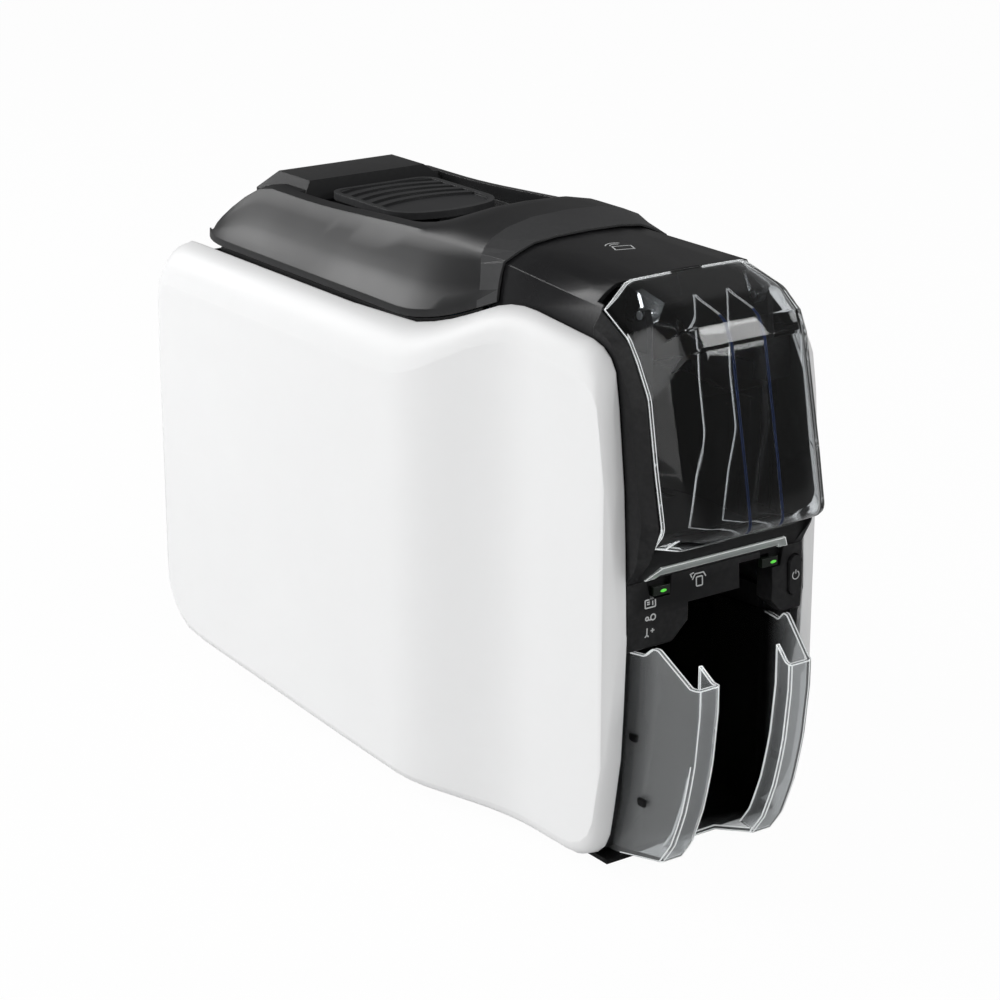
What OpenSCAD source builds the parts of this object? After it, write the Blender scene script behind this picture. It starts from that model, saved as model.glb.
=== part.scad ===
// Desktop identity card printer: front card hopper under a clear hinged cover, clear output
// tray below it, hinged lid over a ribbon bay, geared card path between two steel side frames.
// Millimetres, +Z up, front faces -Y, origin on the floor under the middle of the printer.

/* [Case] */
// Width over the two side panels at the rear
case_w = 158; // [154:1:166]
// Width over the two side panels beside the card hopper
nose_w = 120; // [118:1:124]
// Depth from the front of the clear cover to the rear edge of the side panels
case_d = 390; // [386:1:400]
// Height of the lid crest above the floor
crest_h = 273.5; // [269:0.5:276]
// Height of the side panel rim behind the step
rim_h = 223.7; // [221:0.1:226]
// Height of the side panel rim beside the card hopper
nose_h = 246; // [244:0.5:248]
// Width between the panel rims at the rear
rim_w = 128; // [126:1:132]
// Width between the panel rims beside the card hopper
nose_rim_w = 100; // [99.5:0.5:102]
// Thickness of the moulded shells
wall = 2.4; // [1.8:0.1:3]
// Height of the rubber feet below the bottom pan
foot_h = 2.6; // [2:0.1:4]

/* [Card path] */
// Length of an identity card
card_l = 85.6; // [80:0.1:90]
// Width of an identity card
card_w = 54; // [50:0.1:56]
// Thickness of an identity card
card_t = 0.76; // [0.5:0.01:1]
// Height of the card path above the floor
path_z = 150; // [148:0.5:152]
// Position of the platen roller along the depth
platen_y = 8; // [4:1:12]
// Radius of the driven rollers
roller_r = 6; // [5:0.1:6.2]
// Radius of the pinch rollers
pinch_r = 5; // [4:0.1:6]
// Radius of the roller shafts
shaft_r = 3; // [2.5:0.1:3.5]

/* [Gears] */
// Tooth module of the gear train
gear_m = 1; // [1:0.05:1]
// Teeth on each roller gear
roller_teeth = 28; // [28:2:28]
// Teeth on the idlers beside the platen
idler_teeth = 32; // [32:2:32]
// Teeth on the idler that drives the pick roller
pick_idler_teeth = 22; // [22:2:22]
// Teeth on the large wheel of the reducer
reducer_teeth = 48; // [48:2:48]
// Teeth on the small wheel of the reducer
reducer_small_teeth = 16; // [16:2:16]
// Teeth on the motor pinion
pinion_teeth = 12; // [12:2:12]
// Face width of a gear
gear_w = 5; // [4:0.5:6]

/* [Lid and covers] */
// Height of the lid hinge pins
lid_hinge_z = 219; // [218:0.5:220]
// Radius of the hinge pins
pin_r = 2.5; // [2:0.1:3]
// Width of the release pad
pad_w = 60; // [50:1:64]
// Length of the release pad
pad_l = 70; // [60:1:72]
// Width of the clear hopper cover
cover_w = 88.4; // [86:0.2:89]
// Thickness of the clear cover
cover_t = 2; // [1.6:0.1:2.4]
// Wall thickness of the clear output hopper
tray_t = 2; // [1.6:0.1:2.4]
// Width over the output hopper walls inside the case
tray_w = 83; // [80:0.5:84]
// Gap between the two front wings of the output hopper
tray_gap_w = 39; // [34:1:44]

/* [Ribbon] */
// Radius of the full ribbon roll
supply_r = 17; // [12:0.5:18]
// Radius of the used ribbon roll
takeup_r = 12; // [9:0.5:14]
// Radius of the ribbon cores
core_r = 7; // [6:0.5:8]

/* [Fits] */
// Radial clearance of a shaft or pin in its hole
running = 0.06; // [0.02:0.01:0.1]
// Gap between parts that move past each other
gap = 0.4; // [0.3:0.05:0.6]
// Gap between fixed parts at a seam
seam = 0.2; // [0.1:0.05:0.3]

/* [Hidden] */

white = [0.93, 0.93, 0.94];
charcoal = [0.17, 0.17, 0.18];
black = [0.06, 0.06, 0.07];
steel = [0.72, 0.73, 0.75];
clear = [0.80, 0.84, 0.88, 0.4];
rubber = [0.09, 0.09, 0.1];
eps = 0.01;

// Overall places
front_y = -case_d / 2;
rear_y = case_d / 2;
cover_reach = 31.8;
nose_y = front_y + cover_reach;
floor_z = foot_h;
frame_x = 45;
frame_t = 1.6;

// ---- general functions ----
function mix(a, b, t) = a + (b - a) * t;
function ease(t) = let (s = max(0, min(1, t))) s * s * (3 - 2 * s);
function unit(v) = v / norm(v);
function xy(k) = [k[0], k[1]];
function turn(a) = a > 180 ? a - 360 : a < -180 ? a + 360 : a;

// Arc that rounds the corner b between a and c
function bend(a, b, c, r, n) =
  let (u = unit(a - b), v = unit(c - b), h = acos(u * v) / 2, o = b + unit(u + v) * r / sin(h),
       s = b + u * r / tan(h) - o, e = b + v * r / tan(h) - o, a0 = atan2(s.y, s.x),
       da = turn(atan2(e.y, e.x) - a0))
  [for (i = [0:n]) o + r * [cos(a0 + da * i / n), sin(a0 + da * i / n)]];

// Open line through corners [x, y, radius]
function bent_line(k, n = 6) = concat(
  [xy(k[0])],
  [for (i = [1:len(k) - 2]) each bend(xy(k[i - 1]), xy(k[i]), xy(k[i + 1]), k[i][2], n)],
  [xy(k[len(k) - 1])]);

// Closed outline through corners [x, y, radius]
function bent_loop(k, n = 6) = let (m = len(k))
  [for (i = [0:m - 1]) each k[i][2] > 0
    ? bend(xy(k[(i + m - 1) % m]), xy(k[i]), xy(k[(i + 1) % m]), k[i][2], n) : [xy(k[i])]];

function reversed(v) = [for (i = [len(v) - 1:-1:0]) v[i]];
// Direction that a ring of points faces
function facing(r) = [for (p = r) 1] * [for (i = [1:len(r)]) cross(r[i - 1] - r[0], r[i % len(r)] - r[0])];

// Closed surface through rings of equal point count
module skin(rings) {
  n = len(rings[0]);
  m = len(rings);
  flip = facing(rings[0]) * (rings[m - 1][0] - rings[0][0]) < 0;
  polyhedron(
    points = [for (r = rings) each flip ? reversed(r) : r],
    faces = concat(
      [[for (j = [0:n - 1]) j]],
      [for (i = [0:m - 2], j = [0:n - 1]) let (a = i * n + j, b = i * n + (j + 1) % n)
        each [[a, a + n, b], [b, a + n, b + n]]],
      [[for (j = [n - 1:-1:0]) (m - 1) * n + j]]));
}

// Side profile [y, z] extruded across the width from x0 to x1
module across(x0, x1) {
  translate([x0, 0, 0]) rotate([90, 0, 90]) linear_extrude(x1 - x0) children();
}

// Front profile [x, z] extruded from y0 back to y1
module back(y0, y1) {
  translate([0, y1, 0]) rotate([90, 0, 0]) linear_extrude(y1 - y0) children();
}

module both_sides() {
  children();
  mirror([1, 0, 0]) children();
}

// ---- case outline ----
// Top and bottom edges of a side panel in side view
top_edge = bent_line([
  [nose_y, 115], [nose_y + 2.2, 175, 140], [nose_y + 9.9, nose_h - 6.2, 18],
  [nose_y + 81.2, nose_h, 70], [nose_y + 135.2, rim_h, 100], [rear_y - 7.5, rim_h, 14],
  [rear_y - 2.5, 165, 150], [rear_y, 112]]);
bottom_edge = bent_line([
  [nose_y, 115], [nose_y + 2.2, 60, 100], [nose_y + 11.9, floor_z, 22],
  [nose_y + 125, floor_z, 300], [rear_y - 11.5, floor_z + 11.4, 28],
  [rear_y - 1.7, 62, 80], [rear_y, 112]]);
function rim_top(y) = lookup(y, top_edge);
function rim_bottom(y) = lookup(y, bottom_edge);

// Plan view: the panels step in from the wide rear to the narrow nose
step_rim_y = nose_y + 97;
step_face_y = nose_y + 58;
function rim_x(y) = mix(nose_rim_w, rim_w, ease((y - step_rim_y) / 60)) / 2;
function face_x(y) = mix(nose_w, case_w, ease((y - step_face_y) / 82)) / 2;

// ---- side panels ----
front_round = 7;
rear_round = 8;
function shoulder(y) = mix(14, 21, ease((y - step_face_y) / 82));
function end_fade(y, t) =
  let (f = max(0, (nose_y + front_round - y) / (front_round - t)),
       r = max(0, (y - rear_y + rear_round) / (rear_round - t)), q = max(f, r))
  sqrt(max(0.0004, 1 - q * q));

// Lowest and highest point of a panel at depth y, inset by t and closing to its middle at the ends
function panel_z(y, t) =
  let (ye = y < 0 ? y - t : y + t, zt = rim_top(ye) - t, zb = rim_bottom(ye) + t,
       zm = (rim_top(y) + rim_bottom(y)) / 2)
  zt - zb > 0.2 ? [zb, zt] : [zm - 0.1, zm + 0.1];
// Outward curved path across a panel from its bottom flange to its rim
function panel_path(y, t) =
  let (z = panel_z(y, t), h = z[1] - z[0], st = min(shoulder(y), h * 0.45), sb = min(8, h * 0.45),
       xi = rim_x(y), xo = xi + max(0.04, (face_x(y) - t - xi) * end_fade(y, t)),
       xb = nose_rim_w / 2 - seam - 0.1)
  concat(
    [[xb, y, z[0]]],
    [for (i = [0:5]) let (a = i * 18) [mix(xi, xo, sin(a)), y, z[0] + sb * (1 - cos(a))]],
    [for (i = [5:-1:0]) let (a = i * 18) [mix(xi, xo, sin(a)), y, z[1] - st * (1 - cos(a))]]);

front_steps = [0, 0.5, 1.4, 2.8, 4.6, 7, 9.5, 13, 18, 25, 34];
rear_steps = [26, 18, 12, 8, 5, 2.8, 1.2, 0.1];
panel_ys = concat(
  [for (s = front_steps) nose_y + 0.05 + s],
  [for (s = [46:9.5:145]) nose_y + s],
  [for (s = [190, 240, 290, 320]) nose_y + s],
  [for (s = rear_steps) rear_y - s]);
module side_panel_shape() {
  skin([for (y = panel_ys) concat(panel_path(y, 0), reversed(panel_path(y, wall)))]);
}
// Places [y, z] where the panels are held off the side frames
panel_points = [[-122, 60], [-122, 200], [96, 50], [96, 196], [158, 110]];
module panel_posts() {
  color(steel) both_sides() for (p = panel_points)
    translate([frame_x + frame_t + 0.05, p[0], p[1]]) rotate([0, 90, 0])
      cylinder(h = face_x(p[0]) - wall - frame_x - frame_t - 0.1, r = 4, $fn = 6);
}
module side_panel_left() { color(white) mirror([1, 0, 0]) side_panel_shape(); }
module side_panel_right() { color(white) side_panel_shape(); }

// ---- bottom pan and feet ----
pan_t = 2.2;
pan_y0 = nose_y + 12;
pan_y1 = rear_y - 16;
foot_r = 6;
feet = [[-38, -128], [38, -128], [-38, 140], [38, 140]];
pan_x = nose_rim_w / 2 - 2 * seam - 0.1;

module base_pan() {
  color(black) difference() {
    translate([-pan_x, pan_y0, floor_z]) cube([2 * pan_x, pan_y1 - pan_y0, 14]);
    translate([-pan_x + pan_t, pan_y0 + pan_t, floor_z + pan_t])
      cube([2 * (pan_x - pan_t), pan_y1 - pan_y0 - 2 * pan_t, 14]);
    for (i = [0:8]) translate([-26, 20 + 9 * i, floor_z - 1]) cube([52, 4, pan_t + 2]);
    translate([-pan_x - 1, pan_y0 - 1, floor_z + pan_t]) cube([2 * pan_x + 2, 10.6, 14]);
  }
}

module rubber_feet() {
  color(rubber) for (f = feet) translate([f[0], f[1], 0]) {
    cylinder(h = floor_z - 0.6, r1 = foot_r - 0.8, r2 = foot_r, $fn = 32);
    translate([0, 0, floor_z - 0.6]) cylinder(h = 0.6, r = foot_r, $fn = 32);
  }
}

// ---- side frames ----
roller_z = path_z - roller_r;
pinch_z = path_z + card_t + pinch_r;
roller_pitch = gear_m * (roller_teeth + idler_teeth) / 2;
pick_pitch = gear_m * (roller_teeth + pick_idler_teeth) / 2;
front_idler_y = platen_y - roller_pitch;
feed_y = platen_y - 2 * roller_pitch;
pick_idler_y = feed_y - pick_pitch;
pick_y = feed_y - 2 * pick_pitch;
rear_idler_y = platen_y + roller_pitch;
rear_roller_y = platen_y + 2 * roller_pitch;
reducer_z = roller_z - gear_m * (idler_teeth + reducer_small_teeth) / 2;
pinion_z = reducer_z - gear_m * (reducer_teeth + pinion_teeth) / 2;
driven_ys = [pick_y, feed_y, platen_y, rear_roller_y];
pinch_ys = [feed_y, rear_roller_y];
frame_top = 216;
guide_x = frame_x - 1.8;
frame_rear_y = rear_y - 16;
deck_rear_y = rear_y - 44;
bush_r = shaft_r + 2.02;
bush_len = 3.4;
stud_r = 2.5;
gate_y = rear_roller_y + 17;
gate_z = path_z - 10;
clean_y = feed_y + 18;
clean_z = path_z + card_t + 4.6;

module frame_plate() {
  difference() {
    across(frame_x, frame_x + frame_t) polygon(bent_loop([
      [nose_y + 21, floor_z + 15, 0], [nose_y + 16.3, 30, 20], [nose_y + 11.1, 80, 20],
      [nose_y + 11.1, 128, 4], [nose_y + 17.8, 137, 3], [nose_y + 17.8, frame_top, 5],
      [deck_rear_y - 5, frame_top, 3], [deck_rear_y - 5, trough_z - 2.4, 3],
      [frame_rear_y, trough_z - 2.4, 5], [frame_rear_y, 40, 8],
      [frame_rear_y - 14, floor_z + 15, 6]], 3));
    translate([0, gate_y, gate_z]) frame_hole(gate_r + running);
    for (y = driven_ys) translate([0, y, roller_z]) frame_hole(bush_r);
    for (y = pinch_ys) translate([0, y, pinch_z]) frame_hole(bush_r - 1);
    for (h = [[-100, 60, 18], [40, 40, 14], [140, 60, 20], [140, 160, 20], [-100, 190, 12]])
      translate([0, h[0], h[1]]) frame_hole(h[2]);
  }
  // foot flange turned inward and resting in the pan
  translate([frame_x - 10, -40, floor_z + pan_t + eps]) cube([10 + frame_t, 180, 1.6]);
  translate([frame_x, -40, floor_z + pan_t + eps]) cube([frame_t, 180, 14]);
}
module frame_hole(r) {
  translate([frame_x - 1, 0, 0]) rotate([0, 90, 0]) cylinder(h = frame_t + 2, r = r, $fn = 40);
}
module frame_left() { color(steel) mirror([1, 0, 0]) frame_plate(); }
module frame_right() {
  color(steel) difference() {
    frame_plate();
    for (p = [[front_idler_y, roller_z], [rear_idler_y, roller_z], [pick_idler_y, roller_z],
              [rear_idler_y, reducer_z]])
      translate([0, p[0], p[1]]) frame_hole(stud_r);
    translate([0, rear_idler_y, pinion_z]) frame_hole(9);
  }
}

// Flanged sleeve in the frame around one shaft
module bush(r) {
  translate([frame_x - 1.4, 0, 0]) rotate([0, 90, 0]) difference() {
    union() {
      cylinder(h = bush_len, r = r + 2, $fn = 40);
      cylinder(h = 1.4, r = r + 3.2, $fn = 40);
    }
    translate([0, 0, -1]) cylinder(h = bush_len + 2, r = r + running, $fn = 40);
  }
}
module bushes() {
  color([0.85, 0.8, 0.6]) both_sides() {
    for (y = driven_ys) translate([0, y, roller_z]) bush(shaft_r);
    for (y = pinch_ys) translate([0, y, pinch_z]) bush(shaft_r - 1);
  }
}

// ---- rollers and gears ----
gear_x = frame_x + frame_t + 2;
shaft_end = gear_x + gear_w + 1.2;

// Shaft with rubber sleeves; drive says whether it carries a gear on the right
module roller(r, rs, sleeves, drive) {
  x0 = -frame_x - frame_t - 1.5;
  x1 = drive ? shaft_end : frame_x + frame_t + 1.5;
  translate([x0, 0, 0]) rotate([0, 90, 0]) cylinder(h = x1 - x0, r = rs, $fn = 40);
  for (s = sleeves) translate([s[0], 0, 0]) rotate([0, 90, 0])
    cylinder(h = s[1] - s[0], r = r, $fn = 48);
}
twin = [[-22, -8], [8, 22]];
full = [[-card_w / 2, card_w / 2]];

module at_path(y) { translate([0, y, roller_z]) children(); }
module at_pinch(y) { translate([0, y, pinch_z]) children(); }
module platen_roller() { color(rubber) at_path(platen_y) roller(roller_r, shaft_r, full, true); }
module feed_roller() { color(rubber) at_path(feed_y) roller(roller_r, shaft_r, twin, true); }
module rear_roller() { color(rubber) at_path(rear_roller_y) roller(roller_r, shaft_r, twin, true); }
module pick_roller() { color(rubber) at_path(pick_y) roller(roller_r, shaft_r, twin, true); }
module front_pinch_roller() {
  color(rubber) at_pinch(feed_y) roller(pinch_r, shaft_r - 1, twin, false);
}
module rear_pinch_roller() {
  color(rubber) at_pinch(rear_roller_y) roller(pinch_r, shaft_r - 1, twin, false);
}

// Involute flank point at radius q, thinned a little for backlash
backlash = 2.2;
function inv(q, rb) = let (c = min(1, rb / q), a = acos(c)) tan(a) * 180 / PI - a;
function tooth_half(q, n) =
  let (rp = gear_m * n / 2, rb = rp * cos(20))
  90 / n + inv(rp, rb) - inv(max(q, rb), rb) - backlash / n * 2;
function gear_outline(n) =
  let (rp = gear_m * n / 2, ra = rp + gear_m, rf = rp - 1.25 * gear_m,
       qs = [for (i = [0:3]) mix(max(rf + 0.3, rp * cos(20) + 0.02), ra - 0.05, i / 3)])
  [for (k = [0:n - 1]) let (c = 360 * k / n) each concat(
    [let (a = c - tooth_half(qs[0], n) - 20 / n) rf * [cos(a), sin(a)]],
    [for (q = qs) let (a = c - tooth_half(q, n)) q * [cos(a), sin(a)]],
    [for (i = [3:-1:0]) let (q = qs[i], a = c + tooth_half(q, n)) q * [cos(a), sin(a)]],
    [let (a = c + tooth_half(qs[0], n) + 20 / n) rf * [cos(a), sin(a)]])];

// Spur gear on the X axis from x0, its first tooth at angle phase in side view
module gear(n, x0, w, hole, phase = 0) {
  translate([x0, 0, 0]) rotate([90, 0, 90]) difference() {
    linear_extrude(w) rotate(phase) polygon(gear_outline(n));
    translate([0, 0, -1]) cylinder(h = w + 2, r = hole, $fn = 40);
    if (n > 26) translate([0, 0, w - 1.2]) difference() {
      cylinder(h = 2, r = gear_m * n / 2 - 2.6, $fn = 48);
      translate([0, 0, -1]) cylinder(h = 4, r = shaft_r + 2.4, $fn = 40);
    }
  }
}
roller_phase = 0;
idler_phase = 180 / idler_teeth;
pick_idler_phase = 180 / pick_idler_teeth;
module roller_gear(y) {
  color(white) translate([0, y, roller_z])
    gear(roller_teeth, gear_x, gear_w, shaft_r + 0.02, roller_phase);
}
module platen_gear() roller_gear(platen_y);
module feed_gear() roller_gear(feed_y);
module rear_gear() roller_gear(rear_roller_y);
module pick_gear() roller_gear(pick_y);
module front_idler() {
  color(white) translate([0, front_idler_y, roller_z])
    gear(idler_teeth, gear_x, gear_w, stud_r + running, idler_phase);
}
module rear_idler() {
  color(white) translate([0, rear_idler_y, roller_z])
    gear(idler_teeth, gear_x, gear_w, stud_r + running, idler_phase);
}
module pick_idler() {
  color(white) translate([0, pick_idler_y, roller_z])
    gear(pick_idler_teeth, gear_x, gear_w, stud_r + running, pick_idler_phase);
}
// The small wheel of the reducer meshes with the rear idler straight above it
module reducer_gear() {
  color(white) translate([0, rear_idler_y, reducer_z]) {
    gear(reducer_small_teeth, gear_x, gear_w + seam, stud_r + running, reducer_small_phase);
    gear(reducer_teeth, gear_x + gear_w + seam, gear_w, stud_r + running, reducer_phase);
  }
}
// Tooth of the idler nearest straight down, seen from its own centre
function idler_down() = let (p = 360 / idler_teeth, a = 270 - idler_phase)
  idler_phase + round(a / p) * p - 270;
reducer_small_phase = 90 + 180 / reducer_small_teeth - idler_down() * idler_teeth
  / reducer_small_teeth;
reducer_phase = 270;
pinion_phase = 90 + 180 / pinion_teeth;
motor_shaft_r = 2;
module motor_pinion() {
  color("goldenrod") translate([0, rear_idler_y, pinion_z]) {
    gear(pinion_teeth, gear_x + gear_w + seam, gear_w, 1, pinion_phase);
    translate([frame_x - 4, 0, 0]) rotate([0, 90, 0])
      cylinder(h = gear_x + gear_w + seam - frame_x + 4 + eps, r = motor_shaft_r, $fn = 32);
  }
}
module idler_studs() {
  color(steel) for (p = [[front_idler_y, roller_z, 1], [rear_idler_y, roller_z, 1],
                         [pick_idler_y, roller_z, 1], [rear_idler_y, reducer_z, 2]])
    translate([frame_x, p[0], p[1]]) rotate([0, 90, 0]) {
      capped = p[2] > 1 || p[0] < platen_y;
      cylinder(h = gear_x - frame_x + p[2] * (gear_w + seam) + (capped ? 1 : -0.5), r = stud_r, $fn = 40);
      translate([0, 0, frame_t]) cylinder(h = gear_x - frame_x - frame_t - seam, r = stud_r + 1.6,
                                          $fn = 32);
      if (capped) translate([0, 0, gear_x - frame_x + p[2] * (gear_w + seam) + 0.3])
        cylinder(h = 1, r = stud_r + 1.2, $fn = 32);
    }
}
motor_w = 35;
module drive_motor() {
  color([0.3, 0.3, 0.32]) translate([0, rear_idler_y, pinion_z]) difference() {
    union() {
      translate([frame_x - seam - 26, -motor_w / 2, -motor_w / 2]) cube([26, motor_w, motor_w]);
      translate([frame_x - seam, 0, 0]) rotate([0, 90, 0]) cylinder(h = 1.2, r = 8.6, $fn = 48);
      translate([frame_x - seam - 29, -6, -motor_w / 2]) cube([3 + eps, 12, 9]);
    }
    translate([frame_x - 6, 0, 0]) rotate([0, 90, 0])
      cylinder(h = 8, r = motor_shaft_r + running, $fn = 32);
  }
}
module frame_screws() {
  color(steel) {
    for (y = [-13, 13], z = [-13, 13]) translate([frame_x + frame_t, rear_idler_y + y, pinion_z + z])
      rotate([0, 90, 0]) screw_head();
    for (x = [-1, 1], p = [[30, 170], [30, 60]]) translate([x * 56, rear_plate_y(p[1]) + 0.3, p[1]])
      rotate([-90, 0, 0]) screw_head();
  }
}
module screw_head() {
  difference() {
    cylinder(h = 1.6, r = 2.8, $fn = 32);
    translate([0, 0, 0.8]) cylinder(h = 2, r = 1.3, $fn = 6);
  }
}

// ---- rear cover and its sockets ----
rear_x = rim_w / 2 - seam;
rear_t = 2.6;
rear_line = bent_line([
  [rear_y - 13, floor_z + 16], [rear_y - 8.6, 62, 60], [rear_y - 8.2, 165, 120],
  [rear_y - 10.5, 206, 60], [rear_y - 14.6, 218.4]], 4);
rear_rows = [for (p = rear_line) [p[1], p[0]]];
function rear_plate_y(z) = lookup(z, rear_rows);
inlet_x = -34;
usb_x = -6;
net_x = 22;
socket_z = 44;
module rear_cover() {
  color(black) difference() {
    union() {
      intersection() {
        across(-rear_x, rear_x) polygon(concat(
          rear_line, [for (i = [len(rear_line) - 1:-1:0]) rear_line[i] - [rear_t, 0]]));
        back(rear_y - 40, rear_y) polygon([[-pan_x, 0], [pan_x, 0], [pan_x, 34], [rear_x, 37],
          [rear_x, case_d], [-rear_x, case_d], [-rear_x, 37], [-pan_x, 34]]);
      }
      both_sides() translate([frame_x - 1, frame_rear_y + 0.2, 64])
        cube([frame_t + 2, rear_y - 11 - frame_rear_y - 0.2, 130]);
    }
    // room for the rear edge of the lid as it swings down
    translate([-rear_x - 1, lid_hinge_y, lid_hinge_z]) rotate([0, 90, 0])
      cylinder(h = 2 * rear_x + 2, r = lid_heel_r + gap, $fn = 96);
    for (i = [0:11]) translate([-44 + 8 * i, rear_y - 20, 122]) cube([3.2, 20, 62]);
    back(rear_y - 30, rear_y) translate([inlet_x, socket_z]) circle(r = 6.2, $fn = 40);
    back(rear_y - 30, rear_y) translate([usb_x - 6.4, socket_z - 6]) square([12.8, 12]);
    back(rear_y - 30, rear_y) translate([net_x - 8.4, socket_z - 7]) square([16.8, 14]);
    back(rear_y - 30, rear_y) translate([50, socket_z + 26]) square([3, 7], center = true);
  }
}
socket_y = rear_plate_y(socket_z);
board_x = -frame_x - frame_t - 6;
module power_inlet() {
  color(black) translate([inlet_x, socket_y - 0.6, socket_z]) rotate([90, 0, 0]) difference() {
    cylinder(h = 14, r = 6, $fn = 40);
    translate([0, 0, -1]) cylinder(h = 11, r = 3.2, $fn = 40);
    translate([0, 0, 10]) cylinder(h = 5, r = 1.2, $fn = 24);
  }
  color(steel) translate([inlet_x, socket_y - 2.6, socket_z]) rotate([90, 0, 0])
    cylinder(h = 12, r = 1.05, $fn = 24);
}
module usb_socket() {
  color(steel) translate([usb_x, socket_y - 0.6, socket_z]) rotate([90, 0, 0])
    linear_extrude(15) difference() {
      polygon([[-6.2, -5.8], [6.2, -5.8], [6.2, 3], [3.6, 5.8], [-3.6, 5.8], [-6.2, 3]]);
      polygon([[-5.4, -5], [5.4, -5], [5.4, 2.6], [3.2, 5], [-3.2, 5], [-5.4, 2.6]]);
    }
  color(white) translate([usb_x - 2.8, socket_y - 15.6, socket_z - 5 + eps])
    cube([5.6, 13, 5.6]);
}
module network_socket() {
  color(steel) translate([net_x, socket_y - 0.6, socket_z]) rotate([90, 0, 0]) difference() {
    translate([-8.2, -6.8, 0]) cube([16.4, 13.6, 16]);
    translate([-6, -5.2, -1]) cube([12, 8, 13]);
    translate([-3, 2, -1]) cube([6, 3, 13]);
  }
}

// ---- top deck around the ribbon bay ----
deck_z = rim_h - 2;
deck_t = 2.4;
bay_x = 42;
bay_y0 = nose_y + 112;
strip_w = 5;
bay_y1 = 92;
lid_hinge_y = rear_y - 30;
trough_z = lid_hinge_z - 9;
deck_ys = [for (y = [bay_y0 - strip_w:7:60]) y];
function edge_curve(d, ys, y1) = concat([for (y = ys) [rim_x(y) - d, y]], [[rim_w / 2 - d, y1]]);
function plan_loop(d, ys, y1) = let (r = edge_curve(d, ys, y1))
  concat(r, [for (i = [len(r) - 1:-1:0]) [-r[i][0], r[i][1]]]);
lip_top = 1.5;
ear_x = 41;
ear_t = 4.6;
module top_deck() {
  color(black) {
    difference() {
      translate([0, 0, deck_z - deck_t]) linear_extrude(deck_t)
        polygon(plan_loop(1.8, deck_ys, deck_rear_y));
      translate([-bay_x, bay_y0, deck_z - 10]) cube([2 * bay_x, bay_y1 - bay_y0, 20]);
      for (y = [108:8:132]) translate([-30, y, deck_z - 10]) cube([60, 3, 20]);
    }
    // lip that closes the gap under the lid skirt
    both_sides() intersection() {
      translate([0, 0, deck_z - deck_t]) linear_extrude(30) polygon(concat(
        edge_curve(1.8, deck_ys, deck_rear_y), reversed(edge_curve(3.6, deck_ys, deck_rear_y))));
      across(0, rim_w) polygon(concat(
        [for (y = deck_ys) [y, rim_top(y) + lip_top]],
        [[deck_rear_y, rim_h + lip_top], [deck_rear_y, deck_z - deck_t],
         [deck_ys[0], deck_z - deck_t]]));
    }
    // legs down to the side frames
    both_sides() for (y = [-40, 60, 120])
      translate([frame_x - 3, y, frame_top + seam]) cube([6, 12, deck_z - deck_t - frame_top - seam]);
    // hinge trough behind the deck
    difference() {
      translate([-rim_w / 2 + 1.4, deck_rear_y - 2, trough_z - 2])
        cube([rim_w - 2.8, rear_y - 20 - deck_rear_y, deck_z - trough_z + 2 - eps]);
      translate([-rim_w / 2, deck_rear_y, trough_z]) cube([rim_w, 60, 30]);
    }
    both_sides() difference() {
      union() {
        across(ear_x, ear_x + ear_t) polygon([
          [lid_hinge_y - 8, trough_z - 1], [lid_hinge_y + 8, trough_z - 1],
          [lid_hinge_y + 5.2, lid_hinge_z], [lid_hinge_y - 5.2, lid_hinge_z]]);
        translate([ear_x, lid_hinge_y, lid_hinge_z]) rotate([0, 90, 0])
          cylinder(h = ear_t, r = 5.2, $fn = 40);
      }
      translate([ear_x - 1, lid_hinge_y, lid_hinge_z]) rotate([0, 90, 0])
        cylinder(h = ear_t + 2, r = pin_r, $fn = 40);
    }
  }
}
arm_x = 35;
arm_t = 5;
module lid_hinge_pins() {
  color(steel) both_sides() translate([arm_x, lid_hinge_y, lid_hinge_z]) rotate([0, 90, 0]) {
    cylinder(h = ear_x + ear_t - arm_x + 1, r = pin_r, $fn = 40);
    translate([0, 0, ear_x + ear_t - arm_x + 0.1]) cylinder(h = 1.2, r = pin_r + 1.4, $fn = 32);
  }
}

// ---- card hopper housing ----
house_y0 = nose_y + 27;
house_y1 = nose_y + 105;
house_low = frame_top - 8;
house_wall = 2.3;
arch_z = 264.3;
function house_t(y) = (y - house_y0) / (house_y1 - house_y0);
// Half section: wall, bevel and crowned top at depth y, inset by t
function house_half(y, t) =
  let (s = house_t(y), ze = mix(253, 258.8, s), zc = mix(arch_z, 267, s),
       xf = mix(36, 29, s), low = t > 0 ? house_low - 1 : house_low)
  [[nose_rim_w / 2 - 1 - t, low], [nose_rim_w / 2 - 1 - t, rim_top(y) - 6 - t],
   [cover_w / 2 + 2.2 - t, rim_top(y) + 1 - t], [cover_w / 2 - t, ze - t * 0.5],
   [mix(cover_w / 2, xf, 0.5) - t * 0.6, mix(ze, zc - 2, 0.58) - t * 0.8],
   [xf - t * 0.4, zc - 2 - t], [xf * 0.6, zc - 0.5 - t], [0, zc - t]];
function mirrored(y, half) = concat(
  [for (p = half) [p[0], y, p[1]]],
  [for (i = [len(half) - 2:-1:0]) [-half[i][0], y, half[i][1]]]);
house_ys = [for (i = [0:6]) mix(house_y0, house_y1, i / 6)];
bulk_y = feed_y - roller_r - 3.2;
module hopper_housing() {
  color(black) {
    difference() {
      skin([for (y = house_ys) mirrored(y, house_half(y, 0))]);
      skin([for (y = [house_y0 - 1, each [for (i = [1:5]) house_ys[i]], house_y1 + 1])
        mirrored(y, house_half(y, house_wall))]);
      // round undercut that lets the rear edge of the clear cover swing down
      translate([-43, pivot_y, pivot_z]) rotate([0, 90, 0])
        cylinder(h = 86, r = norm([house_y0 - pivot_y, arch_z - pivot_z]) - gap, $fn = 96);
    }
  }
}

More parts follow.
